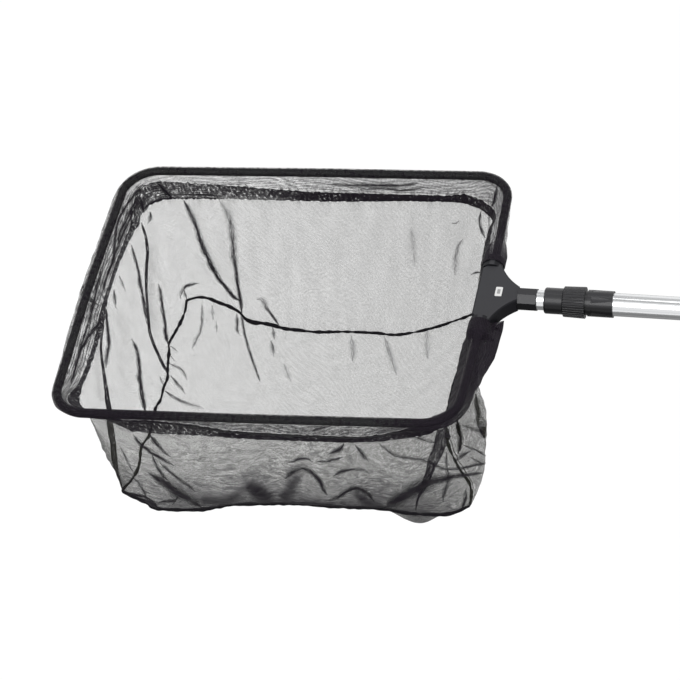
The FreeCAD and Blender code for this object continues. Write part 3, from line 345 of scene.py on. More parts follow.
# Broad soft folds in the walls: half width and relief in millimetres, gathered layers that darken the cloth
# (partly crowded cloth, partly painted shade of the fold), and a line as above
SOFT_FOLDS = {
    "back": (
        (4.5, 1.5, 0.35, ((151, 240), (152, 275), (151, 305), (155, 335))),
        (3.0, 1.0, 0.25, ((190, 205), (205, 245), (222, 280))),
        (3.5, 1.0, 0.20, ((226, 205), (233, 245), (238, 290))),
        (9.0, 3.0, 0.10, ((118, 300), (122, 350), (128, 400))),
        (12.0, -4.0, 0.0, ((136, 260), (128, 330), (120, 400))),
        (3.5, 1.0, 0.30, ((97, 335), (98, 372), (102, 405))),
        (20.0, 5.0, 0.0, ((300, 220), (310, 300))),
        (6.0, 2.0, 0.08, ((410, 225), (415, 290))),
        (8.0, 2.0, 0.06, ((455, 215), (458, 290))),
    ),
    "front": (
        (4.5, 3.0, 3.2, ((247, 481), (255, 486), (262, 492), (270, 499))),
        (5.5, 3.0, 4.2, ((255, 487), (262, 493), (270, 500))),
        (3.5, 2.0, 2.4, ((252, 486), (255, 494), (264, 500))),
        (4.2, 2.0, 2.9, ((281, 500), (287, 492), (293, 482), (300, 474))),
        (4.0, 2.0, 2.1, ((200, 500), (212, 497), (224, 497), (236, 495))),
        (3.0, 1.5, 0.8, ((240, 474), (252, 472), (262, 476), (272, 482))),
        (3.0, 1.5, 1.3, ((286, 478), (292, 470), (300, 466), (310, 468))),
        (3.5, 1.5, 1.4, ((228, 500), (240, 488), (252, 482))),
        (4.0, 2.0, 1.5, ((284, 500), (290, 495), (296, 488))),
        (4.0, 2.0, 0.9, ((290, 502), (303, 503), (320, 503))),
        (4.4, 3.0, 2.8, ((359, 495), (370, 502), (383, 508))),
        (3.0, 2.0, 1.8, ((355, 491), (363, 499), (373, 507))),
        (3.6, 2.0, 1.6, ((200, 502), (210, 500), (222, 500), (234, 497), (244, 492))),
        (3.0, 2.0, 0.7, ((203, 506), (225, 503), (250, 502), (280, 502), (330, 503), (384, 510))),
        (3.0, 2.0, 0.4, ((345, 446), (352, 462), (340, 470))),
        (3.0, 2.0, 0.6, ((170, 478), (185, 488), (200, 500))),
        (22.0, 6.0, 0.0, ((220, 445), (225, 500))),
        (20.0, 6.0, 0.0, ((330, 450), (325, 500))),
        (9.0, 4.0, 0.0, ((410, 440), (405, 495))),
    ),
}

# Across a pleat or a tape: places in half widths, and the share of its layers and height there
FOLD_EDGE = ((-2.5, -1.5, -0.85, -0.42, 0, 0.42, 0.85, 1.5, 2.5), (0, 0.12, 0.4, 0.9, 1, 0.9, 0.4, 0.12, 0))
TAPE_EDGE = ((-1.15, -1, -0.82, -0.4, 0, 0.4, 0.82, 1, 1.15), (0, 0.9, 1, 0.66, 0.6, 0.66, 1, 0.9, 0))
PLEAT_STEP = 1.4              # picture pixels between its rows
PLEAT_BASE, PLEAT_HEIGHT = 0.3 * MM, 0.6 * MM
PLEAT_WAVES = (6, 22)         # rows between its thick and thin places
FOLD_UNEVEN, TAPE_UNEVEN = 0.14, 0.05
STEEP_CELL = 0.15             # a cloth cell seen more edge-on than this, in square pixels, isn't measured
CELL_REACH = 0.6
FOLD_STEP = 4.0               # picture pixels between the points of a soft fold's line


# Curves and rings

def to_picture(points):
    """Places in the 680-pixel picture of points in metres."""
    offset = points - CAMERA_PLACE
    scale = CAMERA_LENS / CAMERA_SENSOR * PHOTO_SIDE / (offset @ np.cross(CAMERA_UP, CAMERA_RIGHT))
    across = PHOTO_SIDE / 2 + scale * (offset @ CAMERA_RIGHT)
    down = PHOTO_SIDE / 2 - scale * (offset @ CAMERA_UP)
    return np.stack([across, down], axis=-1)


def drooped(points):
    """From the flat loop's coordinates to the row's."""
    x, y, z = points[..., 0], points[..., 1], points[..., 2]
    cosine, sine = math.cos(FRAME_DROOP), math.sin(FRAME_DROOP)
    return np.stack([x * cosine - z * sine + HEAD_X, y, x * sine + z * cosine], axis=-1)


def unit(vectors):
    """Vectors brought to length 1."""
    return vectors / np.maximum(np.linalg.norm(vectors, axis=-1, keepdims=True), 1e-12)


def runs(line):
    """The length along a line at each of its points."""
    return np.concatenate([[0], np.cumsum(np.linalg.norm(np.diff(line, axis=0), axis=1))])


def closed_runs(line):
    """The length along a closed line at each of its points, and all the way round."""
    return runs(np.concatenate([line, line[:1]]))


def rounded_loop(corners, radii, arc_steps=14):
    """A closed line through corners in the XY plane, each rounded with its radius."""
    corners = np.array(corners, float)
    line = []
    for before, corner, after, radius in zip(np.roll(corners, 1, 0), corners, np.roll(corners, -1, 0), radii):
        back, ahead = unit(before - corner), unit(after - corner)
        half_angle = math.acos(float(back @ ahead)) / 2
        centre = corner + unit(back + ahead) * radius / math.sin(half_angle)
        start = corner + back * radius / math.tan(half_angle) - centre
        end = corner + ahead * radius / math.tan(half_angle) - centre
        swing = math.acos(np.clip(start @ end / radius ** 2, -1, 1))
        for share in np.arange(arc_steps + 1) / arc_steps:
            blend = math.sin((1 - share) * swing) * start + math.sin(share * swing) * end
            line.append(centre + blend / math.sin(swing))
    return np.array(line)


def dense(line, step=2 * MM):
    """A polyline with points every few millimetres."""
    run = runs(line)
    places = np.linspace(0, run[-1], max(2, int(run[-1] / step)))
    return np.stack([np.interp(places, run, line[:, axis]) for axis in range(line.shape[1])], axis=1)


def ring_sides(line, corners, height):
    """A closed level line as four sides, split at its points nearest to the given corners."""
    starts = [int(np.argmin(np.linalg.norm(line - np.array(corner), axis=1))) for corner in corners]
    sides = []
    for start, end in zip(starts, starts[1:] + starts[:1]):
        if end <= start:
            end += len(line)
        side = line[np.arange(start, end + 1) % len(line)]
        sides.append(dense(np.column_stack([side, np.full(len(side), height)])))
    return sides


def level_ring(drop):
    """The bag's ring at a drop under the tube, in loop coordinates."""
    share = drop / BAG_DEPTH
    centre = -END_BOW - FRAME_LENGTH / 2 + share * BAG_SHIFT
    half_x = FRAME_LENGTH / 2 - share * BAG_TAPER_LENGTH / 2
    half_y = FRAME_WIDTH / 2 - share * BAG_TAPER_WIDTH / 2
    radius = FRAME_CORNER_R + share * (BAG_FLOOR_CORNER_R - FRAME_CORNER_R)
    corners = [(centre + x * half_x, y * half_y) for x, y in ((1, 1), (-1, 1), (-1, -1), (1, -1))]
    return ring_sides(rounded_loop(corners, [radius] * 4), corners, -drop)


def frame_ring():
    """The frame tube's centre line."""
    near_x, far_x, side_y = -END_BOW, -END_BOW - FRAME_LENGTH, FRAME_WIDTH / 2
    middle_x, bowed_y = (near_x + far_x) / 2, side_y + SIDE_BOW
    loop = [(near_x, side_y), (middle_x, bowed_y), (far_x, side_y), (far_x - END_BOW, 0), (far_x, -side_y),
            (middle_x, -bowed_y), (near_x, -side_y), (0, -HEAD_BEND_Y), (0, HEAD_BEND_Y)]
    radii = [FRAME_CORNER_R, BOW_BEND_R] * 3 + [FRAME_CORNER_R, HEAD_BEND_R, HEAD_BEND_R]
    return ring_sides(rounded_loop(loop, radii), loop[:7:2], 0)


def spline(points, steps=12):
    """A smooth curve from the second of the points to the last but one."""
    share = np.linspace(0, 1, steps, endpoint=False)[:, None]
    return np.concatenate([
        0.5 * (2 * p1 + (p2 - p0) * share + (2 * p0 - 5 * p1 + 4 * p2 - p3) * share ** 2
               + (3 * p1 - p0 - 3 * p2 + p3) * share ** 3)
        for p0, p1, p2, p3 in zip(points, points[1:], points[2:], points[3:])
    ])


def smooth_ring(sides):
    """A closed smooth curve through the points of four sides, given in millimetres."""
    points = np.array([point for side in sides for point in side], float) * MM
    line = spline(points[np.arange(-1, len(points) + 2) % len(points)])
    starts = np.cumsum([0] + [len(side) for side in sides]) * (len(line) // len(points))
    return [line[np.arange(start, end + 1) % len(line)] for start, end in zip(starts, starts[1:])]


def smooth_line(points, step):
    """An open smooth curve through points, with places a step apart."""
    points = np.array(points, float)
    ends = np.concatenate([2 * points[:1] - points[1:2], points, 2 * points[-1:] - points[-2:-1]])
    return dense(np.concatenate([spline(ends), points[-1:]]), step)


def along(sides, places):
    """Points of a four-sided ring."""
    out = np.empty((len(places), 3))
    for k, line in enumerate(sides):
        on_side = np.floor(places) % 4 == k
        run = runs(line) / runs(line)[-1]
        for axis in range(3):
            out[on_side, axis] = np.interp(places[on_side] % 1, run, line[:, axis])
    return out


def ring_places(sides, step):
    """Ring places spaced about a step apart."""
    return np.concatenate([np.linspace(k, k + 1, int(runs(line)[-1] / step), endpoint=False)
                           for k, line in enumerate(sides)])


def per_side(values, places):
    """A value for each side that fades to nothing at the corners."""
    side = np.floor(places).astype(int) % 4
    return np.array([values[name] for name in SIDES])[side] * np.sin(np.pi * (places % 1)) ** 0.8


def zone(name, places):
    """1 inside a zone of the ring and 0 outside."""
    start, end, soft = ZONES[name]
    middle, half = (start + end) / 2, (end - start) / 2
    offset = np.abs((places - middle + 2) % 4 - 2)
    return np.clip((half - offset) / soft + 0.5, 0, 1)


def table(rows, places, column):
    """Values of a table's column at ring places."""
    return np.interp(places, [row[0] for row in rows], [row[column] for row in rows], period=4)


def stations(values, share):
    """Values spread evenly along a line, at shares of it."""
    return np.interp(share, np.linspace(0, 1, len(values)), values)


def outward(points):
    """Level unit vectors that point out of a closed ring."""
    way = np.roll(points, -1, axis=0) - np.roll(points, 1, axis=0)
    out = unit(np.stack([way[:, 1], -way[:, 0], np.zeros(len(way))], axis=1))
    return -out if ((points - points.mean(0)) * out).sum() < 0 else out


def waves(places, lengths, size, seed):
    """Smooth seeded noise from crossing sine waves over (n, 2) places in metres, about -1 to 1."""
    draw = np.random.default_rng(seed)
    total = np.zeros(places.shape[:-1])
    for _ in range(size):
        turn = draw.uniform(0, 2 * np.pi)
        length = draw.uniform(*lengths)
        phase = draw.uniform(0, 2 * np.pi)
        along_wave = places[..., 0] * math.cos(turn) + places[..., 1] * math.sin(turn)
        total += np.sin(2 * np.pi * along_wave / length + phase)
    return total / math.sqrt(size)


def uneven(name, cloth, stretch=1):
    """Seeded unevenness over places on the flat cloth."""
    lengths, size, seed = UNEVEN[name]
    return waves(cloth * (1, stretch), [length * MM for length in lengths], size, seed)


def paired(first, second):
    """Two coordinates as places."""
    return np.stack(np.broadcast_arrays(first, second), axis=-1)


def facing_camera(points, normals):
    return ((CAMERA_PLACE - points) * normals).sum(-1)


def line_distance(places, line):
    """Distance of picture places from a line, and the share of the line where it is nearest."""
    best = np.full(places.shape[:-1], np.inf)
    share = np.zeros(places.shape[:-1])
    run = runs(line)
    for start, end, before, after in zip(line, line[1:], run, run[1:]):
        offset = places - start
        along_run = np.clip(offset @ unit(end - start), 0, after - before)
        distance = np.linalg.norm(offset - along_run[..., None] * unit(end - start), axis=-1)
        share = np.where(distance < best, (before + along_run) / run[-1], share)
        best = np.minimum(distance, best)
    return best, share


def soft_folds(points, normals, folds, side, hold):
    """Points moved by broad folds on a side, as far as its edges hold, and the layers laid along them, which
    darken the cloth partly as crowded cloth and partly as painted shade.
    """
    places = to_picture(points)
    rise, layers = np.zeros((2, *points.shape[:-1]))
    for half_width, relief, dark, line in folds:
        distance, share = line_distance(places, smooth_line(line, FOLD_STEP))
        fade = np.clip(np.sin(np.pi * np.clip(share, 0.02, 0.98)) * 3, 0.3, 1)
        profile = np.exp(-(distance / (half_width * PX_PER_MM)) ** 2) * fade * side
        rise += relief * MM * profile * hold
        # darkening along the fold: partly crowded cloth, partly painted shade
        layers += dark * profile
    return points + normals * rise[..., None], layers


# Meshes

def place_object(name, data):
    """A new object in the scene."""
    piece = bpy.data.objects.new(name, data)
    bpy.context.scene.collection.objects.link(piece)
    return piece


def quads(grid):
    return np.stack([grid[:-1, :-1], grid[:-1, 1:], grid[1:, 1:], grid[1:, :-1]], axis=-1).reshape(-1, 4)


def cloth_piece(name, grids, material, wrap=False, close=False):
    """A cloth piece from grids of points, each with its flat places, gathered layers and wrinkles."""
    corners, faces, flats, values = [], [], [], ([], [])
    start = 0
    for points, flat, *layers_and_creases in grids:
        rows, columns = points.shape[:2]
        index = start + np.arange(rows * columns).reshape(rows, columns)
        flat_index = np.arange(rows * flat.shape[1]).reshape(rows, flat.shape[1])
        if wrap:
            index = np.concatenate([index, index[:, :1]], axis=1)
        if close:
            index, flat_index = (np.concatenate([grid, grid[:1]], axis=0) for grid in (index, flat_index))
        faces.append(quads(index))
        flats.append(flat.reshape(-1, 2)[quads(flat_index).reshape(-1)])
        corners.append(points.reshape(-1, 3))
        for kept, value in zip(values, layers_and_creases):
            kept.append(np.broadcast_to(value, (rows, columns)).reshape(-1))
        start += rows * columns
    mesh = bpy.data.meshes.new(name)
    mesh.from_pydata(np.concatenate(corners), [], np.concatenate(faces).tolist())
    mesh.uv_layers.new(name="cloth").data.foreach_set("uv", np.concatenate(flats).reshape(-1))
    for label, kept in zip(CLOTH_VALUES, values):
        attribute = mesh.attributes.new(label, "FLOAT", "POINT")
        attribute.data.foreach_set("value", np.concatenate(kept).astype(np.float32))
    mesh.shade_smooth()
    mesh.materials.append(material)
    piece = place_object(name, mesh)
    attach(piece, "net_head")
    return piece


Panel = namedtuple("Panel", "points picture normals tree usable")


def panel_of(points, usable):
    """A cloth grid that lines of the photograph are laid on, where it is usable."""
    normals = unit(np.cross(np.gradient(points, axis=1), np.gradient(points, axis=0)))
    facing = facing_camera(points, normals)[..., None]
    picture = to_picture(points)
    usable = np.flatnonzero(np.broadcast_to(usable, picture.shape[:2]))
    tree = KDTree(len(usable))
    for number, (across, down) in enumerate(picture.reshape(-1, 2)[usable]):
        tree.insert((across, down, 0), number)
    tree.balance()
    return Panel(points, picture, np.where(facing < 0, -normals, normals), tree, usable)


def flat_cross(first, second):
    return first[:, 0] * second[:, 1] - first[:, 1] * second[:, 0]


def on_panel(panel, places):
    """Points of a panel at places in the picture, and its normals there."""
    rows, columns = panel.points.shape[:2]
    nearest = [panel.tree.find((*place, 0))[1] for place in places.reshape(-1, 2)]
    row, column = np.divmod(panel.usable[nearest], columns)
    above, below = np.maximum(row - 1, 0), np.minimum(row + 1, rows - 1)
    before, after = np.maximum(column - 1, 0), np.minimum(column + 1, columns - 1)
    offset = places.reshape(-1, 2) - panel.picture[row, column]
    across = panel.picture[row, after] - panel.picture[row, before]
    down = panel.picture[below, column] - panel.picture[above, column]
    area = flat_cross(across, down)
    steep = np.abs(area) < STEEP_CELL
    area = np.where(steep, 1.0, area)
    points = panel.points[row, column]
    for part, ahead, behind in ((flat_cross(offset, down), (row, after), (row, before)),
                                (flat_cross(across, offset), (below, column), (above, column))):
        steps = np.where(steep, 0, np.clip(part / area, -CELL_REACH, CELL_REACH))
        points = points + steps[:, None] * (panel.points[ahead] - panel.points[behind])
    shape = (*places.shape[:-1], 3)
    return points.reshape(shape), panel.normals[row, column].reshape(shape)


def pleat(panel, half_widths, layers, line, seed, edge=FOLD_EDGE):
    """A small fold of doubled cloth laid along a line of the photograph."""
    centre = smooth_line(line, PLEAT_STEP)
    way = unit(np.gradient(centre, axis=0))
    side = np.stack([-way[:, 1], way[:, 0]], axis=1)
    share = np.linspace(0, 1, len(centre))
    wavy = waves(paired(share * len(centre), share), PLEAT_WAVES, 6, seed)
    ends = np.clip(np.minimum(share, 1 - share) * len(centre) / 4, 0.35, 1)
    rough = TAPE_UNEVEN if edge is TAPE_EDGE else FOLD_UNEVEN
    half = (stations(half_widths, share) * (1 + rough * wavy) * ends)[:, None]
    centre = centre + side * (0.2 * wavy)[:, None]
    offsets, profile = np.array(edge)
    points, normals = on_panel(panel, centre[:, None] + side[:, None] * (half * offsets)[..., None])
    points = points + normals * (PLEAT_BASE + PLEAT_HEIGHT * profile)[:, None]
    dark = (stations(layers, share) * (1 - 0.12 * wavy))[:, None] * profile
    run = (np.arange(len(centre)) * PLEAT_STEP * MM + seed * 0.1)[:, None]
    return points, paired(run, half * offsets * MM), dark, 0.0


def lay_pleats(name, panel, pleats, seed, edge=FOLD_EDGE):
    """A piece of one or more pleats on a panel."""
    grids = [pleat(panel, *one, seed + number, edge) for number, one in enumerate(pleats)]
    piece = cloth_piece(name, grids, PLEAT_MESH)
    return piece


# Materials

class Shader:
    """Builds the nodes of a material or a world."""

    def __init__(self, owner):
        self.owner = owner
        owner.use_nodes = True
        self.tree = owner.node_tree
        self.tree.nodes.clear()

    def add(self, kind, inputs=None, **settings):
        node = self.tree.nodes.new("ShaderNode" + kind)
        for key, value in settings.items():
            setattr(node, key, value)
        for key, value in (inputs or {}).items():
            if isinstance(value, bpy.types.NodeSocket):
                self.tree.links.new(value, node.inputs[key])
            else:
                node.inputs[key].default_value = value
        return node

    def math(self, operation, first, second=0.0):
        return self.add("Math", {0: first, 1: second}, operation=operation).outputs[0]

    def rest(self, value):
        """What is left of 1."""
        return self.math("SUBTRACT", 1.0, value)

    def vector(self, operation, first, second=(0, 0, 0), scale=1.0):
        return self.add("VectorMath", {0: first, 1: second, 3: scale}, operation=operation).outputs[0]

    def noise(self, scale, detail, roughness=0.5, stretch=None, place=None, distortion=0.0, output="Fac"):
        """Noise at a place, which is the object's own coordinates unless another is given."""
        if place is None:
            place = self.add("TexCoord").outputs["Object"]
        if stretch:
            place = self.vector("MULTIPLY", place, stretch)
        return self.add("TexNoise", {"Vector": place, "Scale": scale, "Detail": detail, "Roughness": roughness,
                                     "Distortion": distortion}).outputs[output]

    def range(self, value, low, high, from_low=0.0, from_high=1.0):
        return self.add("MapRange", {"Value": value, "From Min": from_low, "From Max": from_high,
                                     "To Min": low, "To Max": high}).outputs[0]

    def colour(self, factor, low, high):
        """A mix of two colours, each a socket or three numbers."""
        low, high = (end if isinstance(end, bpy.types.NodeSocket) else (*end, 1) for end in (low, high))
        return self.add("Mix", {0: factor, 6: low, 7: high}, data_type="RGBA").outputs[2]

    def bump(self, height, strength, distance):
        return self.add("Bump", {"Height": height, "Strength": strength, "Distance": distance}).outputs[0]

    def mixed(self, factor, first, second):
        """A mix of two shaders."""
        return self.add("MixShader", {0: factor, 1: first, 2: second}).outputs[0]

    def output(self, shader):
        self.add("OutputMaterial", {0: shader})
        return self.owner

    def finish(self, **inputs):
        """The material, with these inputs of its principled shader."""
        names = {key.replace("_", " ").title().replace("Ior", "IOR"): value for key, value in inputs.items()}
        return self.output(self.add("BsdfPrincipled", names).outputs[0])


def material_nodes(name):
    return Shader(bpy.data.materials.new(name))


def cloth_nodes(name):
    """The start of a cloth material, with the flat cloth's places and what the mesh says of its folds."""
    s = material_nodes(name)
    flat = s.add("UVMap", uv_map="cloth").outputs[0]
    return s, flat, *(s.add("Attribute", attribute_name=label).outputs["Fac"] for label in CLOTH_VALUES)


def woven(s, flat, gathered):
    """How much the threads and the gathered layers cover, and the threads themselves."""
    wander = s.noise(55.0, 2.0, place=flat, output="Color")
    shift = s.vector("SCALE", s.vector("SUBTRACT", wander, (0.5, 0.5, 0.5)), scale=THREAD_WANDER)
    threads = s.vector("SCALE", s.vector("ADD", flat, shift), scale=1 / THREAD_PITCH)
    cell = s.add("SeparateXYZ", {0: s.vector("FRACTION", threads)}).outputs
    thread = s.math("MAXIMUM", *(s.math("LESS_THAN", cell[axis], THREAD_SHARE) for axis in (0, 1)))
    single = s.rest(s.math("MULTIPLY", thread, s.range(gathered, 0.0, 1.0, -1.0, 0.0)))
    more = s.math("POWER", LAYER_CLEAR, s.math("MAXIMUM", gathered, 0.0))
    return s.rest(s.math("MULTIPLY", single, more)), thread


def finish_cloth(s, gathered, cover, relief, single=(0.030, 0.030, 0.031)):
    return s.finish(
        # threads darker where layers gather: painted shade inside the gathered cloth, with the threads' own
        # purple tint
        base_color=s.colour(s.range(gathered, 0.0, 1.0, 0.0, 1.6), single, (0.009, 0.006, 0.011)),
        roughness=0.7,
        alpha=cover,
        normal=s.bump(relief, 0.35, 0.2 * MM),
        specular_ior_level=0.15,
        sheen_weight=0.06,
        sheen_roughness=0.4,
    )


def streaked_mesh(name, scale, stretch, grain, single, spacing, depth, distortion, direction):
    """Open black mesh with soft creases that run in one direction where the cloth is wrinkled, and the
    rings of light and dark that two layers of it make."""
    s, flat, gathered, wrinkled = cloth_nodes(name)
    zones = s.range(s.noise(26.0, 2.0, stretch=(0.8, 1, 1), place=flat), 0.25, 1.6, 0.36, 0.64)
    lines = s.noise(scale, 4.0, stretch=stretch, place=flat, distortion=1.3)
    creases = s.math("MULTIPLY", s.math("MULTIPLY", wrinkled, zones), s.range(lines, -0.35, 1.0, 0.40, 0.68))
    bend = s.vector("SCALE", s.noise(14.0, 0.0, place=flat, output="Color"), scale=9.0 * spacing)
    rings = s.add("TexWave", {"Vector": s.vector("ADD", flat, bend), "Scale": 0.314 / spacing, "Detail": 0.0,
                              "Distortion": distortion, "Detail Scale": 0.1}, bands_direction=direction)
    speckle = s.noise(560.0, 2.0, place=flat)
    rings = s.range(rings.outputs["Fac"], -depth, depth)
    for more in (creases, rings, s.range(speckle, -grain, grain, 0.3, 0.7)):
        gathered = s.math("ADD", gathered, more)
    cover, thread = woven(s, flat, gathered)
    return finish_cloth(s, gathered, cover, thread, single)


def ruched_mesh():
    """Mesh of the hem, gathered unevenly, so that light comes through in speckles."""
    s, flat, gathered, wrinkled = cloth_nodes("hem_mesh")
    speckle = s.noise(340.0, 3.0, stretch=(1, 1.3, 1), place=flat)
    often = s.range(wrinkled, -0.10, 0.0, 0.0, 1.0)
    closed = s.rest(s.range(s.math("ADD", speckle, often), 0.0, 1.0, 0.45, 0.57))
    more = s.math("MULTIPLY", closed, s.math("MULTIPLY", wrinkled, 1.3))
    gathered = s.math("ADD", s.math("MULTIPLY", gathered, closed), more)
    cover, _ = woven(s, flat, gathered)
    return finish_cloth(s, gathered, cover, speckle)


def pleated_mesh():
    """Doubled cloth in the small pleats, fading out at their edges."""
    s, flat, gathered, _ = cloth_nodes("pleat_mesh")
    grain = s.noise(1100.0, 3.0, stretch=(0.14, 1, 1), place=flat, distortion=0.4)
    gathered = s.math("MULTIPLY", gathered, s.range(grain, 0.25, 1.8, 0.34, 0.66))
    return finish_cloth(s, gathered, s.rest(s.math("POWER", PLEAT_CLEAR, gathered)), grain)


def sewn_cord():
    """Tightly rolled black mesh and stitching."""
    s = material_nodes("sewn_cord")
    twist = s.noise(900.0, 3.0, 0.6)
    return s.finish(
        base_color=s.colour(twist, (0.003, 0.003, 0.004), (0.012, 0.010, 0.014)),
        roughness=0.8,
        normal=s.bump(twist, 0.7, 0.5 * MM),
        specular_ior_level=0.15,
    )


def painted_top_light(s, marks, plain_colour, dusty, level):
    """Colours with painted top light: faces that point up in the object's own frame take lighter colours, in
    place of the light from above that falls on them and is reflected off them.
    """
    facing = s.add("VectorTransform", {0: s.add("NewGeometry").outputs["Normal"]}, vector_type="NORMAL",
                   convert_from="WORLD", convert_to="OBJECT").outputs[0]
    upward = s.range(s.add("SeparateXYZ", {0: facing}).outputs[2], 0.0, 1.0, *level)
    return s.colour(upward, plain_colour, s.colour(marks, *dusty))


def grained(name, marks, colours, roughness, grain, bump, dusty=None, level=(0.955, 0.99), **more):
    """A finish whose colour and gloss follow a noise of marks, with a fine grain over it, and painted top
    light on upward faces when its colours are given.
    """
    s = material_nodes(name)
    marks = s.noise(*marks)
    colour = s.colour(marks, *colours)
    # painted top light: faces that point up take lighter colours
    if dusty:
        colour = painted_top_light(s, marks, colour, dusty, level)
    return s.finish(base_color=colour, roughness=s.range(marks, *roughness),
                    normal=s.bump(s.noise(*grain), *bump), **more)


def moulded(name, low, high, roughness, gloss=0.45, **top_light):
    """Moulded plastic with a fine spark-eroded grain and handling marks, and painted top light when its
    colours are given.
    """
    return grained(name, (14.0, 4.0, 0.6), (low, high), (roughness - 0.05, roughness + 0.07, 0.3, 0.7),
                   (900.0, 2.0), (0.3, 0.06 * MM), specular_ior_level=gloss, **top_light)


def coated_tube():
    """Black coating on the frame tube, a little soiled and scuffed."""
    return grained("coated_tube", (40.0, 5.0, 0.65), ((0.004, 0.004, 0.005), (0.009, 0.009, 0.010)),
                   (0.40, 0.52, 0.35, 0.65), (1400.0, 2.0), (0.3, 0.05 * MM), specular_ior_level=0.3)


def rubber():
    return grained("grip_rubber", (20.0, 3.0, 0.6), ((0.012, 0.012, 0.013), (0.022, 0.022, 0.023)),
                   (0.62, 0.78, 0.3, 0.7), (700.0, 3.0, 0.6), (0.4, 0.08 * MM))


def drawn_aluminium():
    """Satin drawn tube, with fine die lines along the pole."""
    s = material_nodes("drawn_aluminium")
    lines = s.noise(260.0, 4.0, 0.65, stretch=(0.004, 1, 1))
    cloud = s.noise(9.0, 3.0, stretch=(0.25, 1, 1))
    return s.finish(
        base_color=s.colour(s.range(lines, 0.0, 1.0, 0.36, 0.62), (0.66, 0.67, 0.68), (0.93, 0.94, 0.95)),
        metallic=1.0,
        roughness=s.range(cloud, 0.13, 0.20, 0.35, 0.65),
        normal=s.bump(lines, 0.12, 0.06 * MM),
    )


def plated_steel():
    s = material_nodes("plated_steel")
    fine = s.noise(300.0, 3.0)
    return s.finish(
        base_color=s.colour(fine, (0.50, 0.50, 0.49), (0.64, 0.64, 0.62)),
        metallic=1.0,
        roughness=s.range(fine, 0.28, 0.42),
    )


def plain_label():
    """A bare white plate with a plain grey field."""
    s = material_nodes("plain_label")
    low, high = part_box("label_plate")
    offset = s.vector("SUBTRACT", s.add("TexCoord").outputs["Object"], (low + high) / 2)
    away = s.add("SeparateXYZ", {0: s.vector("ABSOLUTE", offset)}).outputs
    inside = s.math("MULTIPLY", *(s.math("LESS_THAN", away[axis], LABEL_FIELD[axis] / 2) for axis in (0, 1)))
    fine = s.noise(800.0, 2.0, 0.55)
    return s.finish(
        base_color=s.colour(inside, (0.78, 0.78, 0.77), (0.34, 0.34, 0.34)),
        roughness=s.range(fine, 0.32, 0.42),
        normal=s.bump(fine, 0.15, 0.03 * MM),
    )


WALL_MESH = streaked_mesh("net_mesh", 190.0, (0.42, 1, 1), 0.15, (0.034, 0.035, 0.022),
                          2.8 * MM, 0.04, 2.0, "DIAGONAL")
SLEEVE_MESH = streaked_mesh("sleeve_mesh", 150.0, (0.3, 1, 1), 0.08, (0.030, 0.030, 0.031),
                            3.2 * MM, 0.36, 1.6, "Y")
HEM_MESH = ruched_mesh()
PLEAT_MESH = pleated_mesh()
SEAM_CORD = sewn_cord()


def finish_hard_parts():
    finishes = {
        coated_tube(): ("frame_tube",),
        # head shells: painted top light, their upward faces lighter in place of the light from above
        moulded("head_plastic", (0.004, 0.004, 0.006), (0.007, 0.007, 0.010), 0.46, 0.2,
                dusty=((0.038, 0.038, 0.042), (0.048, 0.048, 0.053))): ("head_top_shell", "head_bottom_shell"),
        # lock parts: painted top light and reflection, their upper halves lighter in place of the light they
        # catch and mirror from above
        moulded("lock_plastic", (0.003, 0.003, 0.004), (0.006, 0.006, 0.007), 0.2, 0.27,
                dusty=((0.036, 0.036, 0.039), (0.047, 0.047, 0.050)), level=(0.4, 0.62)):
            ("neck_socket", "lock_nut", "lock_collar"),
        moulded("inner_plastic", (0.55, 0.55, 0.53), (0.64, 0.64, 0.62), 0.40):
            ("collet", "thrust_ring", "guide_bush"),
        moulded("cap_plastic", (0.010, 0.010, 0.011), (0.016, 0.016, 0.018), 0.42): ("end_cap",),
        drawn_aluminium(): ("inner_tube", "outer_tube"),
        plated_steel(): ("head_screws", "frame_end_pins", "neck_pin", "collar_pins"),
        plain_label(): ("label_plate",),
        rubber(): ("grip_sleeve",),
    }
    for material, names in finishes.items():
        for name in names:
            piece = nodes[name]
            if not piece.material_slots:
                piece.data.materials.append(material)
            for slot in piece.material_slots:
                slot.material = material


finish_hard_parts()


# Rings of the net

tube_sides = [drooped(side) for side in frame_ring()]
top_sides, deep_sides = level_ring(0), level_ring(SLOPE_LEVEL)
seam_sides = smooth_ring([SEAM_SIDES[name] for name in SIDES])
UP = np.array([0, 0, 1.0])


def seam_line(places):
    return along(seam_sides, places)


def hem_line(places, edge):
    """The hem's upper edge (0) or lower edge (1)."""
    drop, inward = (table(HEM, places, column + edge) * MM for column in (1, 3))
    top, deep = along(top_sides, places), along(deep_sides, places)
    share = (drop / SLOPE_LEVEL)[:, None]
    return drooped(top * (1 - share) + deep * share - outward(top) * inward[:, None])


def towards_head(points):
    """The mesh is a little closer towards the head end."""
    return 0.32 * np.clip((points[..., 0] - CLOSER_FROM) / (HEAD_X - CLOSER_FROM), 0, 1) - 0.01


# Walls

def wall_panels(places, points, normals):
    """The walls as they are seen from inside and from outside."""
    facing = facing_camera(points, normals)
    inside, outside = (zone(name, places) > 0.5 for name in ("inside_seen", "outside_seen"))
    return {"back": panel_of(points, inside & (facing < 0.02)),
            "front": panel_of(points, outside & (facing > -0.02))}


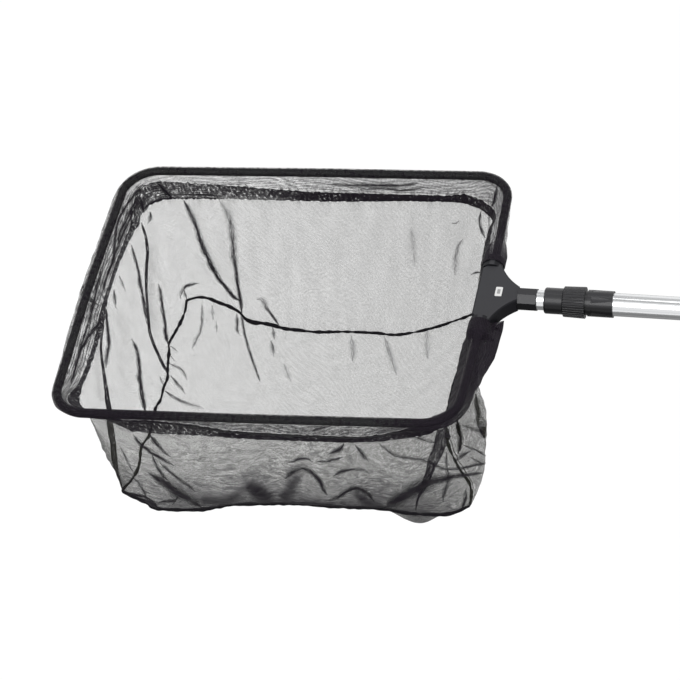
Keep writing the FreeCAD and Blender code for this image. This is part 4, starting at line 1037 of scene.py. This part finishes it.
def make_walls():
    """The four walls in one piece, from the hem down to the floor's seam, with their pleats and seams."""
    places = ring_places(deep_sides, CLOTH_STEP)
    down = np.linspace(0, 1, int(WALL_HEIGHT / CLOTH_STEP))[:, None]
    top, low = hem_line(places, 1), seam_line(places)
    points = top * (1 - down[..., None]) + low * down[..., None]
    normals = np.broadcast_to(outward(top * 0.5 + low * 0.5), points.shape)
    depth = np.linalg.norm(top - low, axis=1).mean()
    flat = paired(closed_runs(along(deep_sides, places)), down * depth)
    cloth = flat[:, :-1]
    hold = np.sin(np.pi * down) ** 0.6

    # Slack: each side bulges, the right wall lowest down
    low_slung = 1.2 + 0.15 * zone("right_slung", places) + 0.7 * zone("right_slung_lower", places)
    fullness = 1 - 0.55 * zone("right_full", places)
    held_back = 1 - 0.55 * zone("right_held_back", places)
    slack = per_side(BULGE, places) * held_back * np.sin(np.pi * down ** low_slung) ** fullness
    slack = slack + MM * (2.0 * uneven("wall_swell", cloth) + 0.5 * uneven("wall_ripple", cloth)) * hold
    points = points + normals * slack[..., None]
    layers = 0.05 * uneven("wall_tone", cloth, 0.35)
    # broad soft folds: real relief, with darkening that is partly painted shade
    for side, seen in (("back", "inside_folds"), ("front", "outside_folds")):
        points, more = soft_folds(points, normals, SOFT_FOLDS[side], zone(seen, places), hold)
        layers = layers + more

    # Puckers along hem and seam, the near wall darker towards its bottom (crowded cloth there, with painted
    # shade), and its turned-in left end
    pucker = np.abs(uneven("wall_pucker", cloth, 0.05))
    by_edges = np.exp(-down * depth / (4 * MM)) + np.exp(-(1 - down) * depth / (3 * MM))
    near = zone("near_wall", places)
    turned = zone("near_left_turned", places) * np.clip((down - 0.14) / 0.08, 0, 1)
    # the near wall darkens towards its bottom: partly crumpled cloth, partly painted shade
    layers = layers + 0.35 * pucker * by_edges + near * (2.6 * down ** 2.1) + 0.7 * turned
    layers = layers + 0.03 * zone("right_closer", places) + towards_head(points)
    wrinkles = 0.06 + near * (0.45 + 1.1 * down ** 1.5) + 0.3 * zone("right_creased", places)
    walls = cloth_piece("net_walls", [(points, flat, layers, wrinkles)], WALL_MESH, wrap=True)
    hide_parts("net_wall_far", "net_wall_left", "net_wall_near", "net_wall_right")
    panels = wall_panels(places, points, normals)
    pieces = [lay_pleats("net_pleats_" + side, panels[side], PLEATS[side], 100 * number)
              for number, side in enumerate(("back", "front"))]
    for number, (name, (side, *one)) in enumerate(CORNER_SEAMS.items()):
        tape = lay_pleats("corner_seam_" + name, panels[side], [one], 700 + number, TAPE_EDGE)
        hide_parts("wall_seam_tapes")
        pieces.append(tape)


# Floor and its seam

def make_floor():
    """A cloth patch between the four sides of the seam, slack in its middle."""
    length, width = FLOOR_SPAN
    u, v = (np.linspace(0, 1, int(side / CLOTH_STEP)) for side in FLOOR_SPAN)
    tiny = 1e-6               # keeps each side's ends off its neighbours
    inner_u, inner_v = (tiny + share * (1 - 2 * tiny) for share in (u, v))
    far, near = seam_line(1 - inner_u), seam_line(2 + inner_u)
    left, right = seam_line(2 - inner_v), seam_line(3 + inner_v)
    uu, vv = u[None, :, None], v[:, None, None]
    points = (1 - vv) * near[None] + vv * far[None] + (1 - uu) * left[:, None] + uu * right[:, None]
    points -= ((1 - uu) * (1 - vv) * near[0] + uu * (1 - vv) * near[-1]
               + (1 - uu) * vv * far[0] + uu * vv * far[-1])
    hold = (np.sin(np.pi * u) * np.sin(np.pi * v)[:, None]) ** 0.5
    flat = paired(u * length, (v * width)[:, None])
    pouch = np.exp(-(((to_picture(points) - POUCH_AT) / POUCH_SPREAD) ** 2).sum(-1))
    swell = MM * (2.5 * uneven("floor_swell", flat) + 0.5 * uneven("floor_ripple", flat))
    points[..., 2] += (swell - FLOOR_SAG) * hold
    points[..., 2] -= POUCH_DEPTH * pouch * np.minimum(hold * 4, 1)
    edge = np.minimum(np.minimum(u, 1 - u) * length, (np.minimum(v, 1 - v) * width)[:, None])
    pucker = np.abs(uneven("floor_pucker", flat))
    layers = 0.4 * pucker * np.exp(-edge / (3 * MM)) + 0.03 * uneven("floor_tone", flat)
    layers = layers + towards_head(points) + 1.1 * pouch
    floor = cloth_piece("net_floor_cloth", [(points, flat, layers, 0.06)], WALL_MESH)
    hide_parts("net_floor")
    pleats = lay_pleats("net_pleats_floor", panel_of(points, True), PLEATS["floor"], 300)


def make_seam():
    """The rolled seam round the floor."""
    places = ring_places(seam_sides, 1.2 * MM)
    centre = seam_line(places)
    out = outward(centre)
    thicker = 0.22 * zone("seam_near", places) + 0.35 * zone("seam_far_left", places)
    thicker = thicker + 0.22 * uneven("seam_thickness", paired(runs(centre), 0))
    radius = (SEAM_R * (0.9 + thicker))[:, None]
    turns = np.linspace(0, 2 * np.pi, 10, endpoint=False)
    points = np.stack([centre + (out * math.cos(turn) + UP * math.sin(turn)) * radius for turn in turns])
    flat = np.zeros((len(turns), len(places) + 1, 2))
    cord = cloth_piece("floor_seam_roll", [(points, flat, 0.0, 0.0)], SEAM_CORD, wrap=True, close=True)
    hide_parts("floor_seam_binding")


# Hem and sleeve

def make_hem():
    """The thick gathered hem where sleeve and bag are sewn together."""
    places = ring_places(deep_sides, 1.1 * MM)
    top, low = hem_line(places, 0), hem_line(places, 1)
    middle, reach = (top + low) / 2, (top - low) / 2
    normals = outward(middle)
    run = closed_runs(along(deep_sides, places))
    cloth = paired(run[:-1], 0)
    ruffle = 0.25 * MM * uneven("hem_ruffle", cloth)
    edge = 1 + 0.03 * uneven("hem_edge", cloth) + 0.05 * uneven("hem_fray", cloth)
    dark = table(HEM, places, 5) * (1 + 0.12 * uneven("hem_tone", cloth))
    turns = np.linspace(0, 2 * np.pi, 24, endpoint=False)[:, None]
    across = np.cos(turns) * HEM_HALF_THICK + ruffle
    points = middle + normals * across[..., None] + reach * (np.sin(turns) * edge)[..., None]
    flat = paired(run, turns / (2 * np.pi) * HEM_ROUND)
    thin_foot = zone("hem_thin_foot", places) * np.clip(-2.2 * np.sin(turns) - 0.3, 0, 1)
    layers = dark * (1 - 0.85 * thin_foot)
    hem = cloth_piece("hem_band_cloth", [(points, flat, layers, table(HEM, places, 6))], HEM_MESH,
                      wrap=True, close=True)
    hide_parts("hem_band")
    panel = panel_of(points, facing_camera(points, normals) * np.cos(turns) > 0)
    pleats = lay_pleats("hem_pleats", panel, PLEATS["hem"], 400)


def on_head_side(places):
    return np.floor(places) % 4 == 3


def sleeve_radius(centre, places):
    """The sleeve lies on the tube, and on the head's hoods at its ends."""
    past = (np.abs(centre[:, 1]) - HOOD_END_Y) / np.where(centre[:, 1] > 0, 34 * MM, 14 * MM)
    share = np.clip(1 - past, 0, 1)
    share = share * share * (3 - 2 * share) * on_head_side(places)
    return SLEEVE_SLACK + FRAME_TUBE_R + (HOOD_R - FRAME_TUBE_R) * share


def make_sleeve():
    """The strip folded over the frame tube, with two layers down to the hem."""
    places = ring_places(tube_sides, CLOTH_STEP)
    centre = along(tube_sides, places)
    bare = on_head_side(places) & (centre[:, 1] > NEAR_END_Y) & (centre[:, 1] < FAR_END_Y)
    start = int(np.argmax(bare)) + int(bare.sum())
    order = np.arange(start, start + len(places) - int(bare.sum())) % len(places)
    normals = outward(centre)[order]
    centre, places = centre[order], places[order]
    hem = hem_line(places, 0)
    radius = sleeve_radius(centre, places)[:, None]

    # Rows from the hem up the inner skirt, round the tube, and down the outer skirt, which is drawn outwards
    inner_side, outer_side = centre - normals * radius, centre + normals * radius
    loose, drop = table(SLEEVE, places, 4) * MM, (centre - hem) @ UP
    widest = centre + normals * loose[:, None] - UP * (0.55 * drop)[:, None]
    control = 2 * widest - (outer_side + hem) / 2
    rows = []
    for share in np.linspace(0, 1, SKIRT_ROWS, endpoint=False):
        rows.append(hem * (1 - share) + inner_side * share - normals * (HEM_HALF_THICK * (1 - share)))
    for turn in np.linspace(math.pi, 0, WRAP_ROWS, endpoint=False):
        rows.append(centre + normals * (radius * math.cos(turn)) + UP * (radius * math.sin(turn)))
    for share in np.linspace(0, 1, SKIRT_ROWS):
        rows.append(outer_side * (1 - share) ** 2 + control * (2 * share * (1 - share)) + hem * share ** 2
                    + normals * (HEM_HALF_THICK * share))
    points = np.stack(rows)
    row = np.arange(len(rows))[:, None]
    outer = row >= SKIRT_ROWS + WRAP_ROWS
    skirt = np.where(outer, len(rows) - 1 - row, np.where(row < SKIRT_ROWS, row, 0)) / SKIRT_ROWS
    flat = paired(runs(centre) * np.where(outer, OUTER_STRETCH, 1.0), row / len(rows) * STRIP_WIDTH)
    hold = np.sin(np.pi * skirt)
    wave = np.where(outer, 0.35 * MM, 0.8 * MM) * uneven("sleeve_slack", flat)
    points = points + normals * (wave * hold)[..., None]
    tail = np.clip(1 - (NEAR_END_Y - centre[:, 1]) / TAIL_REACH, 0, 1) * (centre[:, 1] < 0)
    points[..., 1] += TAIL_PULL * tail * hold * outer

    layers = np.where(outer, table(SLEEVE, places, 2), table(SLEEVE, places, 1))
    layers = layers + 0.15 * np.abs(uneven("sleeve_tone", flat)) * (hold > 0)
    puckers = np.clip(uneven("sleeve_pucker", flat, 0.5), 0, 2)
    to_hem = np.where(outer, 1, skirt) * SKIRT_WIDTH
    layers = layers + 1.3 * puckers * np.exp(-(to_hem / (6 * MM)) ** 2)
    sleeve = cloth_piece("rim_sleeve_cloth", [(points, flat, layers, table(SLEEVE, places, 3))], SLEEVE_MESH)
    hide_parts("rim_sleeve")
    seen_inside = (zone("sleeve_inside_seen", places) > 0.5) & (row < SKIRT_ROWS)
    seen_outside = (zone("sleeve_outside_seen", places) > 0.5) & outer
    panel = panel_of(points, seen_inside | seen_outside)
    pleats = lay_pleats("rim_pleats", panel, PLEATS["rim"], 500)


make_walls()
make_floor()
make_seam()
make_hem()
make_sleeve()


# Stage floor, light and camera

STAGE_Z = -0.75
STAGE_SPAN = 60.0
STAGE_GLOW = 0.92
WORLD_LIGHT = 0.75


def seen_directly(s):
    """1 for rays that show the surroundings themselves, 0 for rays that gather light."""
    rays = s.add("LightPath").outputs
    total = rays["Is Camera Ray"]
    for name in ("Is Glossy Ray", "Is Transmission Ray"):
        total = s.math("MAXIMUM", total, rays[name])
    return total


def make_world():
    """Soft light from all sides, and a white background."""
    s = Shader(bpy.data.worlds.new("studio"))
    light = s.add("Background", {"Strength": WORLD_LIGHT}).outputs[0]
    white = s.add("Background", {"Color": (1, 1, 1, 1)}).outputs[0]
    s.add("OutputWorld", {0: s.mixed(seen_directly(s), light, white)})
    bpy.context.scene.world = s.owner


def level_sheet(s, shader, half, height, centre_y=0.0, under=False):
    """A square sheet with a shader on its upper or its under side, and nothing on the other."""
    clear = s.add("BsdfTransparent").outputs[0]
    sides = (clear, shader) if under else (shader, clear)
    material = s.output(s.mixed(s.add("NewGeometry").outputs["Backfacing"], *sides))
    mesh = bpy.data.meshes.new(material.name)
    near, far = centre_y - half, centre_y + half
    corners = [(-half, near, height), (half, near, height), (half, far, height), (-half, far, height)]
    mesh.from_pydata(corners, [], [(0, 1, 2, 3)])
    mesh.materials.append(material)
    sheet = place_object(material.name, mesh)
    return sheet


def make_stage_floor():
    """A pale floor that shows nearly white and keeps a soft shadow."""
    s = material_nodes("studio_floor")
    pale = s.colour(s.noise(3.0, 2.0, 0.55), (0.80, 0.80, 0.80), (0.82, 0.82, 0.82))
    matt = s.add("BsdfDiffuse", {"Color": pale}).outputs[0]
    faint = s.add("BsdfDiffuse", {"Color": (0.12, 0.12, 0.12, 1)}).outputs[0]
    glow = s.add("Emission", {"Color": (1, 1, 1, 1), "Strength": STAGE_GLOW}).outputs[0]
    bright = s.add("AddShader", {0: faint, 1: glow}).outputs[0]
    level_sheet(s, s.mixed(seen_directly(s), matt, bright), STAGE_SPAN / 2, STAGE_Z)


def make_card(name, tone, half, height, centre_y):
    """A grey card over or under the object, seen only in reflections and by the soft light."""
    s = material_nodes(name)
    grey = s.add("Emission", {"Color": (tone, tone, tone, 1)}).outputs[0]
    card = level_sheet(s, grey, half, height, centre_y, under=height > 0)
    card.visible_camera = card.visible_shadow = card.visible_transmission = False


def soft_lamp(name, place, target, width, power):
    data = bpy.data.lights.new(name, "AREA")
    data.shape = "SQUARE"
    data.size = width
    data.energy = power
    lamp = place_object(name, data)
    lamp.location = place
    lamp.rotation_euler = (Vector(target) - Vector(place)).to_track_quat("-Z", "Y").to_euler()


def make_camera():
    data = bpy.data.cameras.new("camera")
    data.lens = CAMERA_LENS
    data.sensor_width = CAMERA_SENSOR
    data.clip_end = CAMERA_FAR
    camera = place_object("camera", data)
    turn = np.stack([CAMERA_RIGHT, CAMERA_UP, np.cross(CAMERA_RIGHT, CAMERA_UP)], axis=1)
    camera.matrix_world = Matrix.Translation(Vector(CAMERA_PLACE)) @ Matrix(turn.tolist()).to_4x4()
    bpy.context.scene.camera = camera


make_world()
make_stage_floor()
make_card("low_card", 0.27, 1.3, -0.60, 0.15)
make_card("high_card", 0.58, 3.2, 3.4, 2.7)
soft_lamp("key", (-0.15, -2.1, 2.35), (-0.4, 0, 0), 1.8, 40)
soft_lamp("top", (0.2, 0.9, 2.4), (-0.4, 0, 0), 1.4, 14)
make_camera()
bpy.context.scene.view_settings.view_transform = "Standard"
